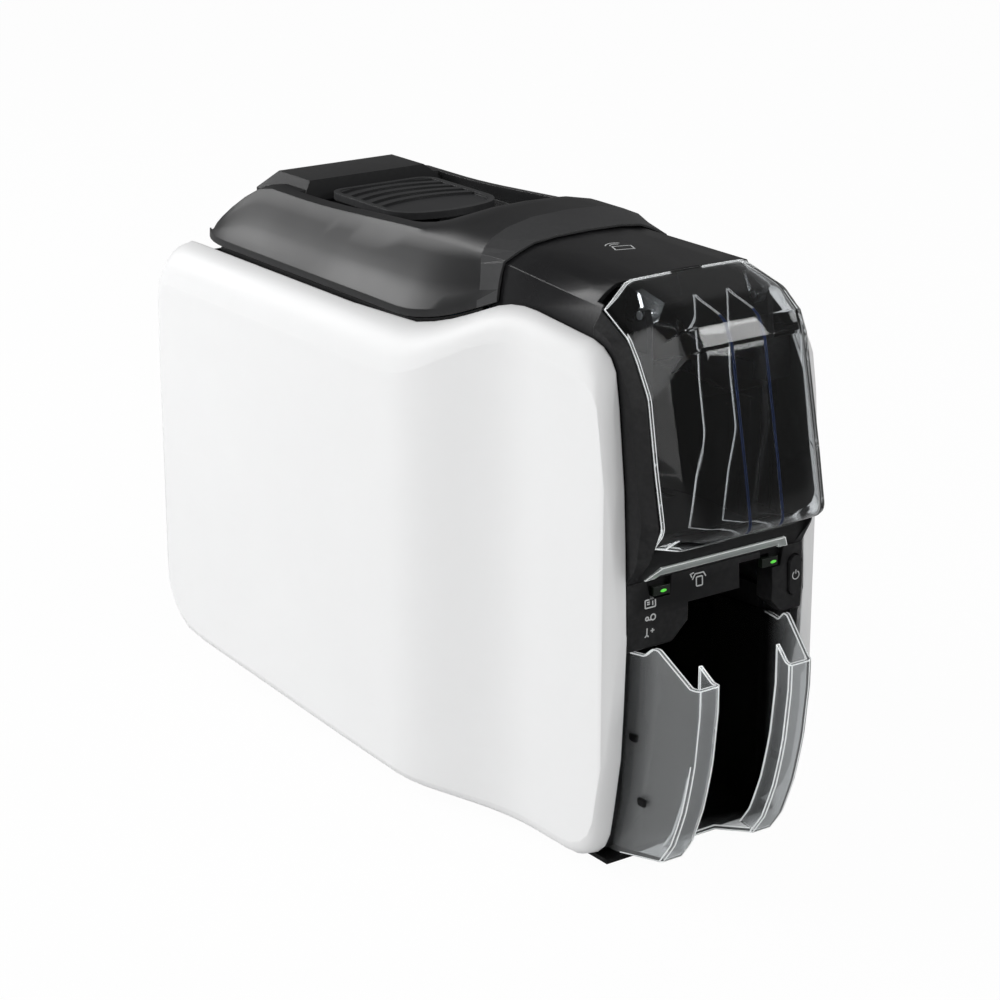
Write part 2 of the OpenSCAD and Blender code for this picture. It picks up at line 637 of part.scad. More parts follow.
// ---- front bezel ----
bezel_x = nose_rim_w / 2 - 1;
cheek_x = cover_w / 2 + gap;
bezel_line = bent_line([
  [house_y0 - seam, 252.4], [nose_y + 7.4, 242, 12], [nose_y - 5.5, 219, 20], [nose_y - 10, 190, 80],
  [nose_y - 15, 165, 14], [nose_y - 9, 150, 14], [nose_y + 1.2, 137.6]], 5);
sill_z = 156.5;
seam_z = 137.6;
pipe_z = 139.6;
pipe_h = 4.4;
setback = 6.6;
cheek_back = [[nose_y + 13, seam_z], [nose_y + 17.6, seam_z + 6], [nose_y + 17.6, 228],
  [house_y0 - seam, 232]];
// The cheek surface slants back from its inner to its outer edge
cheek_inner = [for (p = concat(bezel_line, cheek_back)) [cheek_x, p[0], p[1]]];
cheek_outer = concat(
  [[bezel_x, bezel_line[0][0], bezel_line[0][1] - setback]],
  [for (i = [1:len(bezel_line) - 1]) let (p = bezel_line[i])
    [bezel_x, p[0] + setback * ease((p[1] - seam_z) / 24), p[1] - 1.5 * ease((p[1] - 230) / 20)]],
  [for (p = cheek_back) [bezel_x, p[0], p[1]]]);
carrier_x = 31;
carrier_t = 3.2;
module front_bezel() {
  color(charcoal) difference() {
    union() {
      both_sides() skin([cheek_inner, cheek_outer]);
      // blocks behind the edges of the clear cover, with the plates that carry its pins
      both_sides() across(carrier_x, cheek_x + eps) polygon([
        [nose_y + 8, 214], [nose_y + 8, 236], [nose_y + 16.8, 236], [nose_y + 16.8, 214]]);
      both_sides() across(carrier_x, carrier_x + carrier_t) polygon([
        [nose_y + 8, 235], [pivot_y - 4.4, pivot_z - 3], [pivot_y - 2.6, pivot_z + 2.5],
        [pivot_y + 1.4, pivot_z + 2.5], [pivot_y + 3.2, pivot_z - 0.2], [pivot_y + 4.4, pivot_z - 3],
        [nose_y + 16.4, 235]]);
      across(-cheek_x - eps, cheek_x + eps) polygon([
        [nose_y + 1.2, seam_z], [nose_y - 4.6, 146], [nose_y - 8, sill_z - 2], [nose_y - 6, sill_z - 6],
        [nose_y + 12, path_z - 3.2], [nose_y + 12, seam_z]]);
    }
    light_pipe_pocket(seam);
    both_sides() translate([carrier_x - 1, pivot_y, pivot_z]) rotate([0, 90, 0])
      cylinder(h = carrier_t + 2, r = cover_pin_r, $fn = 40);
  }
}
pipe_front = nose_y - 5.4;
function pipe_outline(d) = [
  [-42 - d, seam_z - 2], [-34.5 - d, pipe_z + pipe_h + d], [34.5 + d, pipe_z + pipe_h + d],
  [42 + d, seam_z - 2], [36.5 - d, seam_z - 2], [33.5 - d, pipe_z - d], [-33.5 + d, pipe_z - d],
  [-36.5 + d, seam_z - 2]];
module light_pipe_pocket(d) {
  back(pipe_front - 20, nose_y + 6 + d) polygon(pipe_outline(d));
}
module light_pipe() {
  color(clear) intersection() {
    back(pipe_front - 20, nose_y + 6) polygon(pipe_outline(0));
    across(-60, 60) polygon([
      [nose_y + 0.2, seam_z + seam], [pipe_front + 0.6, pipe_z + pipe_h], [nose_y + 6, pipe_z + pipe_h],
      [nose_y + 6, seam_z + seam]]);
  }
}

// ---- clear hopper cover ----
pivot_y = nose_y + 13.2;
pivot_z = 251;
// Edge line beside the bezel and centre line of the cover in side view, matched corner by corner
cover_edge = bent_line([
  [house_y0 - 0.9, 252.6], [nose_y + 10, 243.4, 10], [nose_y + 3.7, 235, 6], [nose_y - 4.3, 221, 14],
  [nose_y - 9.8, 190, 60], [nose_y - 15.2, 165, 7], [nose_y - 8, 155.6]], 5);
cover_ridge = bent_line([
  [house_y0 - 0.9, arch_z - 0.2], [nose_y - 1, 258.3, 14], [nose_y - 12.4, 250.6, 1.5],
  [nose_y - 16.4, 242.6, 2], [nose_y - 28, 190, 80], [nose_y - 33, 163.4, 6], [nose_y - 14, 153.6]], 5);
cover_stops = [[1, 0], [0.87, 0.47], [0.755, 0.88], [0.69, 0.965], [0.5, 0.985], [0.2, 0.998]];
// Ring across the cover at station i: outer skin out and inner skin back
function cover_ring(i) =
  let (e = cover_edge[i], c = cover_ridge[i], d = unit(c - e), hw = cover_w / 2)
  concat(
    [for (s = cover_stops) let (p = e + (c - e) * s[1]) [-hw * s[0], p[0], p[1]]],
    [for (k = [5:-1:0]) let (s = cover_stops[k], p = e + (c - e) * s[1]) [hw * s[0], p[0], p[1]]],
    [for (s = cover_stops) let (p = e + (c - e) * s[1] - d * cover_t * min(1, s[1] * 3))
      [(hw - cover_t) * s[0], p[0], p[1]]],
    [for (k = [5:-1:0]) let (s = cover_stops[k], p = e + (c - e) * s[1] - d * cover_t * min(1, s[1] * 3))
      [-(hw - cover_t) * s[0], p[0], p[1]]]);
rib_x = 9;
rib_t = 1.4;
ear_in = 27.2;
ear_w = 3.4;
cover_pin_r = 1.8;
module hopper_cover() {
  color(clear) {
    skin([for (i = [0:len(cover_edge) - 1]) cover_ring(i)]);
    // crescent ribs behind the front face
    for (x = [-rib_x, rib_x]) across(x - rib_t / 2, x + rib_t / 2) polygon(concat(
      [for (i = [7:len(cover_ridge) - 2]) cover_ridge[i] + [1.2, -0.2]],
      bent_line([[nose_y + 8, 153.7], [nose_y + 5, 178, 20], [nose_y + 1, 198, 16],
        [nose_y + 6, 222, 40], [nose_y + 9.6, 256.5]], 5)));
  }
}
// Hinge ears clipped inside the clear cover
module cover_ears() {
  color(charcoal) both_sides() difference() {
    union() {
      across(ear_in, ear_in + ear_w) polygon([
        [pivot_y - 4, pivot_z], [pivot_y - 7, cover_roof - 1.4], [pivot_y + 8, cover_roof + 1.6],
        [pivot_y + 4, pivot_z]]);
      translate([ear_in, pivot_y, pivot_z]) rotate([0, 90, 0]) cylinder(h = ear_w, r = 4, $fn = 40);
    }
    translate([ear_in - 1, pivot_y, pivot_z]) rotate([0, 90, 0])
      cylinder(h = ear_w + 2, r = cover_pin_r + running, $fn = 40);
  }
}
cover_roof = 257.6;
module cover_pins() {
  color(steel) both_sides() translate([ear_in - 1, pivot_y, pivot_z]) rotate([0, 90, 0])
    cylinder(h = carrier_x + carrier_t - ear_in + 1.6, r = cover_pin_r, $fn = 40);
}

// ---- lower front ----
lower_x = bezel_x + 0.1;
lower_line = bent_line([
  [nose_y + 1.2, seam_z - seam], [nose_y + 0.2, 120, 40], [nose_y + 0.8, 106.4, 2],
  [nose_y + 7.4, 104.6, 2], [nose_y + 8.6, 80, 60], [nose_y + 12.6, 30, 40], [nose_y + 18, floor_z + 5]], 4);
button_c = [44.6, 123];
button_w = 6.8;
button_h = 18.5;
window_x = 31;
module button_outline(d) {
  r = button_w / 2 + d;
  for (s = [-1, 1]) translate([button_c[0], button_c[1] + s * (button_h - button_w) / 2])
    circle(r = r, $fn = 40);
  translate([button_c[0] - r, button_c[1] - (button_h - button_w) / 2])
    square([2 * r, button_h - button_w]);
}
mouth = [[-41.9, 0], [-41.9, 104], [-27, 104], [-16, 115], [-16, 123.3], [13, 123.3],
         [13, 134.6], [32, 134.6], [32, 113], [38, 107], [41.9, 104], [41.9, 0]];
module lower_front() {
  color(charcoal) difference() {
    across(-lower_x, lower_x) polygon(concat(lower_line, [
      [nose_y + 20.6, floor_z + 5], [nose_y + 16, 30], [nose_y + 10.8, 80], [nose_y + 10.8, 128],
      [nose_y + 12, seam_z - seam]]));
    back(nose_y - 30, nose_y + 40) polygon(mouth);
    back(nose_y - 30, nose_y + 40) button_outline(gap);
    both_sides() back(nose_y - 30, nose_y + 3.6) polygon([
      [window_x - 6.4, seam_z + 1], [window_x - 5, 128.6], [window_x + 5.6, 128.6],
      [window_x + 8, seam_z + 1]]);
  }
}
module status_windows() {
  color([0.2, 0.8, 0.25, 0.8]) both_sides()
    translate([window_x - 5, nose_y + 0.6, 129.6]) cube([9, 3, 4.2]);
}
module power_button() {
  color(charcoal) {
    back(nose_y - 0.9, nose_y + 6) button_outline(0);
    back(nose_y + 6 - eps, nose_y + 19) translate([button_c[0] - 2.4, button_c[1] - 3]) square([2.2, 6]);
  }
}

// ---- input tray under the clear cover ----
bay_in_x = card_w / 2 + 0.6;
tray_back_y = bulk_y;
card_front_y = tray_back_y - card_l - 1;
module input_tray() {
  color(black) {
    difference() {
      // floor with windows for the pick roller
      translate([-guide_x, nose_y + 12.4, path_z - 2.4]) cube([2 * guide_x,
        tray_back_y - nose_y - 12.4, 2.2]);
      for (s = twin) translate([s[0] - 1, pick_y - roller_r - 1, path_z - 6])
        cube([s[1] - s[0] + 2, 2 * roller_r + 2, 12]);
    }
    // side walls that guide the stack
    both_sides() across(bay_in_x, bay_in_x + 2) polygon([
      [nose_y + 14, path_z - 0.3], [tray_back_y, path_z - 0.3], [tray_back_y, 206],
      [nose_y + 52, 206], [nose_y + 40, 206], [nose_y + 14, 206]]);
    both_sides() for (y = [nose_y + 26, nose_y + 82]) {
      translate([bay_in_x + 2 - eps, y, path_z - 0.3]) cube([frame_x - seam - bay_in_x - 2, 2, 56]);
      translate([guide_x - 1, y - 4, path_z - 2.4]) cube([frame_x - seam - guide_x + 1, 8, 2.2]);
    }
    // rear wall above the card slot
    difference() {
      translate([-guide_x, tray_back_y - eps, path_z - 2.4]) cube([2 * guide_x, 2, 56]);
      translate([-bay_in_x, tray_back_y - 1, path_z - 0.4]) cube([2 * bay_in_x, 4, 1.8]);
      translate([-14, tray_back_y - 1, path_z + 30]) cube([28, 4, 20]);
    }
  }
}

// ---- output liner and clear output hopper ----
liner_in = tray_w / 2 + gap;
liner_y1 = nose_y + 96;
liner_top = 112;
module output_liner() {
  color(black) {
    both_sides() translate([liner_in, nose_y + 21, floor_z + pan_t + seam])
      cube([frame_x - seam - liner_in, liner_y1 - nose_y - 21, liner_top - floor_z - pan_t - seam]);
    difference() {
      translate([-frame_x + seam, liner_y1 - eps, floor_z + pan_t + seam])
        cube([2 * (frame_x - seam), 2.2, liner_top - floor_z - pan_t + 20]);
      translate([-bay_in_x, liner_y1 - 1, liner_top]) cube([2 * bay_in_x, 5, 14]);
    }
    difference() {
      translate([-frame_x + seam, nose_y + 21, liner_top + 22 - 2])
        cube([2 * (frame_x - seam), liner_y1 - nose_y - 21, 2]);
      translate([-30, nose_y + 40, liner_top]) cube([60, 30, 30]);
    }
    for (x = [-8, 8]) translate([x, liner_y1 - 3, 20]) cube([2, 3, 80]);
  }
}
// One wall and front wing of the output hopper, its front curving back towards the floor
wing_x = 32.5;
wing_y = nose_y - 27.6;
tray_y0 = nose_y + 8.4;
tray_y1 = liner_y1 - 4;
tray_low = floor_z + pan_t + 0.35;
wing_depth = 11.5;
wing_curve = bent_line([[5, 22.8], [15.7, 14.9, 14], [34, 7.8, 60], [56, 2.8, 60], [82, 0, 40], [120, 0]], 3);
function wing_shift(z) = lookup(z, wing_curve);
function wing_ring(z) = let (d = wing_y + wing_shift(z), r = tray_y0 + 0.25 * wing_shift(z)) [
  [tray_w / 2, tray_y1, z], [tray_w / 2, r + 4, z], [tray_w / 2 - 0.7, r, z],
  [wing_x + 1.2, d + 4, z], [wing_x, d + 1.2, z], [wing_x - 1.6, d, z], [tray_gap_w / 2 + 1.2, d, z],
  [tray_gap_w / 2, d + 1.2, z], [tray_gap_w / 2 + 1.4, d + wing_depth, z],
  [tray_gap_w / 2 + tray_t + 1.4, d + wing_depth, z], [tray_gap_w / 2 + tray_t, d + tray_t, z],
  [wing_x - 2.4, d + tray_t, z], [wing_x - 1, d + 4.4, z], [tray_w / 2 - tray_t - 0.8, r + 1, z],
  [tray_w / 2 - tray_t, r + 5, z], [tray_w / 2 - tray_t, tray_y1, z]];
wing_zs = [tray_low, 8, 12, 16, 21, 27, 34, 42, 50, 58, 68, 82, 112];
wing_side = bent_loop([
  [tray_y1 + 1, 0, 0], [tray_y1 + 1, 97, 0], [tray_y0 + 4, 102.6, 4], [nose_y + 1.6, 103.2, 1],
  [nose_y - 3, 107.6, 2], [nose_y - 6, 107.8, 3], [wing_y + 4, 94.6, 2], [wing_y - 6, 93.6, 0],
  [wing_y - 6, 0, 0]], 4);
module output_hopper() {
  color(clear) {
    both_sides() intersection() {
      skin([for (z = wing_zs) wing_ring(z)]);
      across(0, tray_w) polygon(wing_side);
    }
    translate([0, 0, tray_low]) linear_extrude(2.2) polygon([
      [-tray_w / 2 + 1, tray_y1], [-tray_w / 2 + 1, tray_y0 + 6], [-wing_x + 1, wing_y + 23.2],
      [-tray_gap_w / 2 - 1, wing_y + 23.2], [-9, nose_y + 8], [9, nose_y + 8],
      [tray_gap_w / 2 + 1, wing_y + 23.2], [wing_x - 1, wing_y + 23.2], [tray_w / 2 - 1, tray_y0 + 6],
      [tray_w / 2 - 1, tray_y1]]);
  }
}

// ---- card guide, gate, cleaning roller ----
module card_guide() {
  color(black) {
    difference() {
      union() {
        translate([-guide_x, bulk_y + 2.4, path_z - 3]) cube([2 * guide_x,
          gate_y - 8 - bulk_y - 2.4, 2.4]);
        for (y = [front_idler_y, rear_idler_y]) translate([-frame_x + seam, y - 5, path_z - 3])
          cube([2 * (frame_x - seam), 10, 2.4]);
        both_sides() translate([bay_in_x, bulk_y + 2.4, path_z - 0.6 - eps])
          cube([3, gate_y - 8 - bulk_y - 2.4, 3]);
      }
      for (y = [feed_y, rear_roller_y], s = twin)
        translate([s[0] - 1, y - roller_r - 1.4, path_z - 8]) cube([s[1] - s[0] + 2, 2 * roller_r + 2.8, 20]);
      for (y = [feed_y, rear_roller_y]) translate([-frame_x, y - pinch_r, path_z + 0.6])
        cube([2 * frame_x, 2 * pinch_r, 20]);
      translate([-full[0][1] - 4, platen_y - roller_r - 1, path_z - 8])
        cube([2 * full[0][1] + 8, 2 * roller_r + 2, 20]);
      for (y = driven_ys) translate([-frame_x, y - shaft_r - gap, path_z - 8])
        cube([2 * frame_x, 2 * (shaft_r + gap), 4.6]);
    }
  }
}
// Chute that leads a finished card back down to the output slot
module return_chute() {
  color(black) {
    across(-bay_in_x, bay_in_x) polygon([
      [liner_y1 + 3, liner_top + 4], [gate_y + 6, path_z - 26], [gate_y + 6, path_z - 28],
      [liner_y1 + 3, liner_top + 2]]);
    both_sides() translate([bay_in_x, liner_y1 + 3, liner_top + 2])
      cube([frame_x - seam - bay_in_x, gate_y - liner_y1, 2]);
  }
}
gate_r = 1.8;
module card_gate() {
  color(charcoal) {
    translate([-frame_x - frame_t - 0.8, gate_y, gate_z]) rotate([0, 90, 0])
      cylinder(h = 2 * (frame_x + frame_t) + 1.6, r = gate_r, $fn = 32);
    across(-bay_in_x, bay_in_x) polygon([
      [gate_y - 1, gate_z], [gate_y - 0.6, gate_z + 7.6], [gate_y + 3, gate_z + 8.4],
      [gate_y + 14, gate_z + 3], [gate_y + 14, gate_z + 1.4], [gate_y + 3, gate_z - 0.6]]);
  }
}
module cleaning_roller() {
  color([0.55, 0.7, 0.85]) {
    translate([-card_w / 2, clean_y, clean_z]) rotate([0, 90, 0]) cylinder(h = card_w, r = 4, $fn = 40);
    translate([-cart_x - cart_t - 0.5, clean_y, clean_z]) rotate([0, 90, 0])
      cylinder(h = 2 * (cart_x + cart_t) + 1, r = 1.5, $fn = 32);
  }
}

// ---- circuit board ----
module circuit_board() {
  color([0.1, 0.35, 0.2]) {
    translate([board_x - 1.6, -20, 60]) cube([1.6, 150, 76]);
    for (p = [[-10, 70, 20, 14], [30, 76, 24, 24], [70, 68, 12, 30], [96, 104, 16, 10]])
      translate([board_x - 1.6 - 3, p[0], p[1]]) cube([3 + eps, p[2], p[3]]);
    for (p = [[-14, 66], [124, 66], [-14, 130], [124, 130]])
      translate([board_x - eps, p[0], p[1]]) rotate([0, 90, 0])
        cylinder(h = -frame_x - frame_t - board_x - seam, r = 2.4, $fn = 24);
  }
}

// ---- ribbon ----
supply_y = platen_y + 46;
takeup_y = platen_y - 44;
spool_z = path_z + 36;
cart_x = 38;
cart_t = 2;
spool_x = cart_x - 0.6;
module ribbon_cartridge() {
  color([0.75, 0.78, 0.82]) {
    both_sides() difference() {
      across(cart_x, cart_x + cart_t) polygon(bent_loop([
        [takeup_y - 12, path_z + 2, 3], [takeup_y - 12, spool_z + 8, 8], [takeup_y + 12, spool_z + 14, 6],
        [takeup_y + 14, path_z + 24, 6], [supply_y - 20, path_z + 24, 6], [supply_y - 18, spool_z + 21, 6],
        [supply_y + 18, spool_z + 21, 8], [supply_y + 18, path_z + 16, 4], [clean_y + 9, path_z + 16, 4],
        [clean_y + 7, path_z + 2, 3]], 3));
      translate([0, clean_y, clean_z]) rotate([0, 90, 0]) cylinder(h = 60, r = 1.5 + running, $fn = 32);
      for (y = [takeup_y, supply_y]) translate([0, y, spool_z]) rotate([0, 90, 0])
        cylinder(h = 60, r = core_r - 2 + running, $fn = 40);
    }
    for (y = [takeup_y - 12, supply_y + 15]) translate([-cart_x - eps, y, path_z + 17])
      cube([2 * cart_x + 2 * eps, 2, 8]);
    // handle across the top
    translate([-cart_x - eps, supply_y + 4, spool_z + 18]) cube([2 * cart_x + 2 * eps, 10, 2]);
    // feet on the card guide
    both_sides() for (y = [takeup_y - 10, supply_y + 4])
      translate([cart_x, y, path_z - 0.5]) cube([cart_t, 6, 17]);
  }
}
module spool(y, r) {
  translate([-spool_x - cart_t - 1, y, spool_z]) rotate([0, 90, 0]) {
    cylinder(h = 2 * (spool_x + cart_t + 1), r = core_r - 2, $fn = 40);
    translate([0, 0, cart_t + 1.4]) cylinder(h = 2 * (spool_x - 0.4), r = core_r, $fn = 40);
    translate([0, 0, spool_x + cart_t + 1 - card_w / 2 - 1]) cylinder(h = card_w + 2, r = r, $fn = 48);
  }
}
module supply_spool() { color([0.25, 0.2, 0.35]) spool(supply_y, supply_r); }
module takeup_spool() { color([0.25, 0.2, 0.35]) spool(takeup_y, takeup_r); }
module ribbon_film() {
  color([0.2, 0.15, 0.3]) across(-card_w / 2, card_w / 2) polygon([
    [takeup_y + takeup_r + 0.5, spool_z], [takeup_y + takeup_r + 0.8, spool_z - 4],
    [platen_y - 5, path_z + card_t + 0.35], [platen_y + 5, path_z + card_t + 0.35],
    [supply_y - supply_r - 0.8, spool_z - 4], [supply_y - supply_r - 0.5, spool_z],
    [supply_y - supply_r - 0.8, spool_z], [supply_y - supply_r - 1.1, spool_z - 4],
    [platen_y + 4.8, path_z + card_t + 0.55], [platen_y - 4.8, path_z + card_t + 0.55],
    [takeup_y + takeup_r + 1.1, spool_z - 4], [takeup_y + takeup_r + 0.8, spool_z]]);
}

// ---- lid ----
lid_gap = 0.5;
lid_y1 = rear_y - 20;
crest_y = nose_y + 134;
collar_y = nose_y + 110;
ridge_low = 257.5;
ridge_high = 263;
lid_floor = 252;
pad_y = 67.5;
function lid_x(y) = rim_x(y) - 1.2 - 8 * pow(max(0, (y - rear_y + 52) / 32), 2.4);
function lid_bottom(y) = rim_top(min(y, rear_y - 45)) + lip_top + lid_gap;
function ridge_x(y) = mix(mix(cover_w / 2 + 2.6, 48, ease((y - collar_y) / 60)), lid_x(y) - 2,
  ease((y - rear_y + 66) / 46));
function ridge_z(y) = mix(
  mix(ridge_high, ridge_low, ease((y - crest_y) / 130)), lid_bottom(y) + 3.4,
  ease((y - rear_y + 66) / 52));
function crown(y) = mix(crest_h - ridge_high, 1.2, ease((y - crest_y) / 34));
// Half section of the lid at depth y, inset by t, its top kept below cap
function lid_half(y, t, cap) =
  let (xb = lid_x(y), zb = lid_bottom(y), xr = ridge_x(y), zr = ridge_z(y), c = crown(y))
  concat(
    [[xb - t, t > 0 ? zb - 4 : zb], [xb - t - 0.2, min(zb + 3.5, cap)]],
    [for (i = [1:4]) let (s = i / 5)
      [mix(xb - 1, xr + 0.6, pow(s, 0.72)) - t, min(mix(zb + 4, zr - 3, s), cap)]],
    [[xr + 0.4 - t, min(zr - 3, cap)], [xr - 1.4 - t, min(zr - 0.5 - t, cap)]],
    [for (k = [0.88, 0.7, 0.4]) [xr * k - t * k, min(zr + c * (1 - pow(k, 3)) - t, cap)]],
    [[0, min(zr + c - t, cap)]]);
// Ring with a lean: y shifts with height so that the collar edges curve
function leaned(ring, lean, z0) =
  [for (p = ring) [p[0], p[1] + lean * max(0, p[2] - z0) / (crest_h - z0), p[2]]];
lid_heel_r = norm([lid_y1 - lid_hinge_y, ridge_z(lid_y1) + crown(lid_y1) - lid_hinge_z]);
lid_ys = [for (s = [0, 3, 8, 14, 21, 29, 38, 48, 58, 70]) lid_y1 - s];
mid_ys = [for (i = [1:9]) mix(lid_y1 - 70, crest_y + 34, i / 9)];
crest_ys = [for (i = [1:8]) mix(crest_y + 34, collar_y + 8, i / 8)];
// Housing outline at depth y grown by g, with as many points as a lid section
function over_housing(y, g) =
  let (h = house_half(y, 0), zb = lid_bottom(y), w = [h[2][0] + g, zb + 1.5],
       e = [h[3][0] + g, h[3][1] + g * 0.5],
       m = [h[4][0] + g * 0.7, h[4][1] + g * 0.7], f = [h[5][0], h[5][1] + g])
  concat([[w[0], zb]], [for (i = [0:4]) mix(w, e, i / 4)], [mix(e, m, 0.15), m, f],
    [[f[0] * 0.8, f[1] + 0.7], [f[0] * 0.6, h[6][1] + g], [0, h[7][1] + g]]);
module lid_outer() {
  skin(concat(
    [for (y = concat(lid_ys, mid_ys, crest_ys)) mirrored(y, lid_half(y, 0, 400))],
    [leaned(mirrored(collar_y, lid_half(collar_y, 0, 400)), 2, 250)],
    [leaned(mirrored(collar_y - 12, over_housing(collar_y - 12, 1.6)), -5, 250)]));
}
lid_ceiling = lid_floor - wall - 0.2;
module top_lid() {
  color(charcoal) {
    difference() {
      lid_outer();
      // hollow below the pad recess
      skin([for (y = concat([for (s = [3.2, 8, 14, 21, 29, 38, 48, 58, 70]) lid_y1 - s], mid_ys))
        mirrored(y, lid_half(y, wall, lid_ceiling))]);
      // hollow under the crest, open to the front
      skin([for (y = concat([crest_y + 35], crest_ys, [collar_y + 2, collar_y - 1, collar_y - 5,
        collar_y - 14, collar_y - 24])) mirrored(y, crest_hollow(y))]);
      // recess round the release pad, its front wall sloping up to the crest
      intersection() {
        across(-60, 60) polygon([
          [pad_y + 48, ridge_high + 4], [pad_y + 38, lid_floor], [pad_y - 40, lid_floor],
          [pad_y - 56, lid_floor + 3.4], [pad_y - 72, lid_floor + 10], [pad_y - 88, lid_floor + 22],
          [pad_y + 38, lid_floor + 22]]);
        translate([0, 0, lid_floor - 1]) linear_extrude(40) polygon(bent_loop([
          [41, pad_y + 60, 0], [-41, pad_y + 60, 0], [-41, pad_y - 60, 20], [-30, pad_y - 84, 14],
          [30, pad_y - 84, 14], [41, pad_y - 60, 20]], 4));
      }
      // well for the stem of the release pad
      translate([-stem_x - gap, stem_y - stem_l / 2 - gap, lid_ceiling - 5])
        cube([2 * (stem_x + gap), stem_l + 2 * gap, 20]);
    }
    // stiffening ribs under the crest
    for (x = [-25.6, -16.7, -7.3, 7.3, 16.7, 25.6]) hull() for (y = [crest_y - 12.7, crest_y + 5])
      translate([x - 0.8, y, crest_h - 6.4 - (crest_h - ridge_high) * pow(abs(x) / 45, 3)])
        cube([1.6, 1, 4.4]);
    // walls below the well that guide the stem
    for (x = [-1, 1]) hull() for (y = [-1, 1])
      translate([x * (stem_x + gap + 0.6) - 0.6, stem_y + y * (stem_l / 2 - 1) - 0.5, lid_ceiling - 2.2])
        cube([1.2, 1, 3]);
    // raised block behind the recess
    hull() for (s = [-1, 1]) {
      translate([s * 33, pad_y + 45, ridge_high - 1.4]) cube([1, 1, 0.6], center = true);
      translate([s * 33, pad_y + 73, ridge_high - 1.4]) cube([1, 1, 0.6], center = true);
      translate([s * 42, pad_y + 37.6, lid_floor + 0.4]) cube([1, 1, 2], center = true);
      translate([s * 42, pad_y + 80, ridge_low - 5]) cube([1, 1, 2], center = true);
    }
  }
}
// Half section of the hollow under the crest; it follows the housing with a clear gap
function crest_hollow(y) =
  let (s = max(0, min(1, (collar_y + 4 - y) / 8)), xr = ridge_x(y), zr = ridge_z(y), c = crown(y),
       a = [[lid_x(y) - wall, lid_bottom(y) - 20], [lid_x(y) - wall, lid_bottom(y) - 5],
            [lid_x(y) - wall - 1.2, lid_bottom(y) + 3], [xr - 1.4, zr - 8], [xr - 3.6, zr - 3.6],
            [xr * 0.7 - 2, zr + c * 0.6 - wall], [xr * 0.4, zr + c * 0.86 - wall], [0, zr + c - wall]],
       h = house_half(y, 0),
       b = [[h[0][0] + gap, lid_bottom(y) - 20], [h[1][0] + gap - 0.6, h[1][1]],
            [h[2][0] + gap, lid_bottom(y) + 1.5], [h[3][0] + gap, h[3][1] + gap],
            [h[4][0] + gap * 0.7, h[4][1] + gap * 0.7 + 0.15], [h[5][0], h[5][1] + gap + 0.2],
            [h[6][0], h[6][1] + gap + 0.2], [0, h[7][1] + gap + 0.1]])
  [for (i = [0:7]) mix(a[i], b[i], s)];

latch_y = -12;
latch_z = lid_ceiling - 8;
latch_reach = 56;
latch_pin_x = 11.6;
latch_pin_r = 2;
hook_y = bay_y0 - strip_w - 0.8;
// Plate of the lid frame, from ahead of the latch back to its hinge arms
plate_x = 43;
plate_y0 = latch_y - 6;
plate_y1 = lid_hinge_y - 31;
module lid_frame() {
  color(black) difference() {
    union() {
      difference() {
        translate([-plate_x, plate_y0, lid_ceiling - 3]) cube([2 * plate_x, plate_y1 - plate_y0, 3 - eps]);
        translate([-24, stem_y - 18, lid_ceiling - 5]) cube([48, 86, 10]);
      }
      both_sides() across(arm_x, arm_x + arm_t) polygon([
        [plate_y1 - 14, lid_ceiling - 2], [plate_y1, lid_ceiling - 2], [lid_hinge_y - 17, lid_hinge_z + 21],
        [lid_hinge_y - 5, lid_hinge_z + 9], [lid_hinge_y + 4.8, lid_hinge_z + 2.4],
        [lid_hinge_y + 5.2, lid_hinge_z], [lid_hinge_y - 5.2, lid_hinge_z],
        [lid_hinge_y - 6.4, lid_hinge_z + 4],
        [lid_hinge_y - 33, lid_hinge_z + 17]]);
      both_sides() translate([arm_x, lid_hinge_y, lid_hinge_z]) rotate([0, 90, 0])
        cylinder(h = arm_t, r = 5.2, $fn = 40);
      // hangers for the printhead
      both_sides() translate([29, platen_y - 9, path_z + 22]) cube([3, 18, lid_ceiling - path_z - 24]);
      // ears for the latch lever
      both_sides() across(8, 11) polygon([
        [latch_y - 5, lid_ceiling - 1], [latch_y + 5, lid_ceiling - 1], [latch_y + 4, latch_z - 4],
        [latch_y - 4, latch_z - 4]]);
    }
    both_sides() translate([arm_x - 1, lid_hinge_y, lid_hinge_z]) rotate([0, 90, 0])
      cylinder(h = arm_t + 2, r = pin_r + running, $fn = 40);
    both_sides() translate([7, latch_y, latch_z]) rotate([0, 90, 0])
      cylinder(h = 5, r = 2 + running, $fn = 40);
  }
}
module latch_lever() {
  color(steel) {
    translate([-latch_pin_x, latch_y, latch_z]) rotate([0, 90, 0])
      cylinder(h = 2 * latch_pin_x, r = latch_pin_r, $fn = 40);
    across(-7.4, 7.4) polygon([
      [latch_y + latch_reach + 6, latch_z + 3], [latch_y + latch_reach + 6, latch_z + 1],
      [latch_y, latch_z - 3], [hook_y + 4, latch_z - 3], [hook_y, latch_z - 7],
      [hook_y, deck_z - 6], [hook_y - 3, deck_z - 6], [hook_y - 3, latch_z - 3],
      [hook_y + 1, latch_z + 1], [latch_y - 6, latch_z + 3]]);
  }
}
module printhead_bracket() {
  color(steel) {
    translate([-32, platen_y - 8, path_z + 20]) cube([64, 16, 2]);
    both_sides() translate([27, platen_y - 8, path_z + 8]) cube([1.6, 16, 12 + eps]);
  }
}
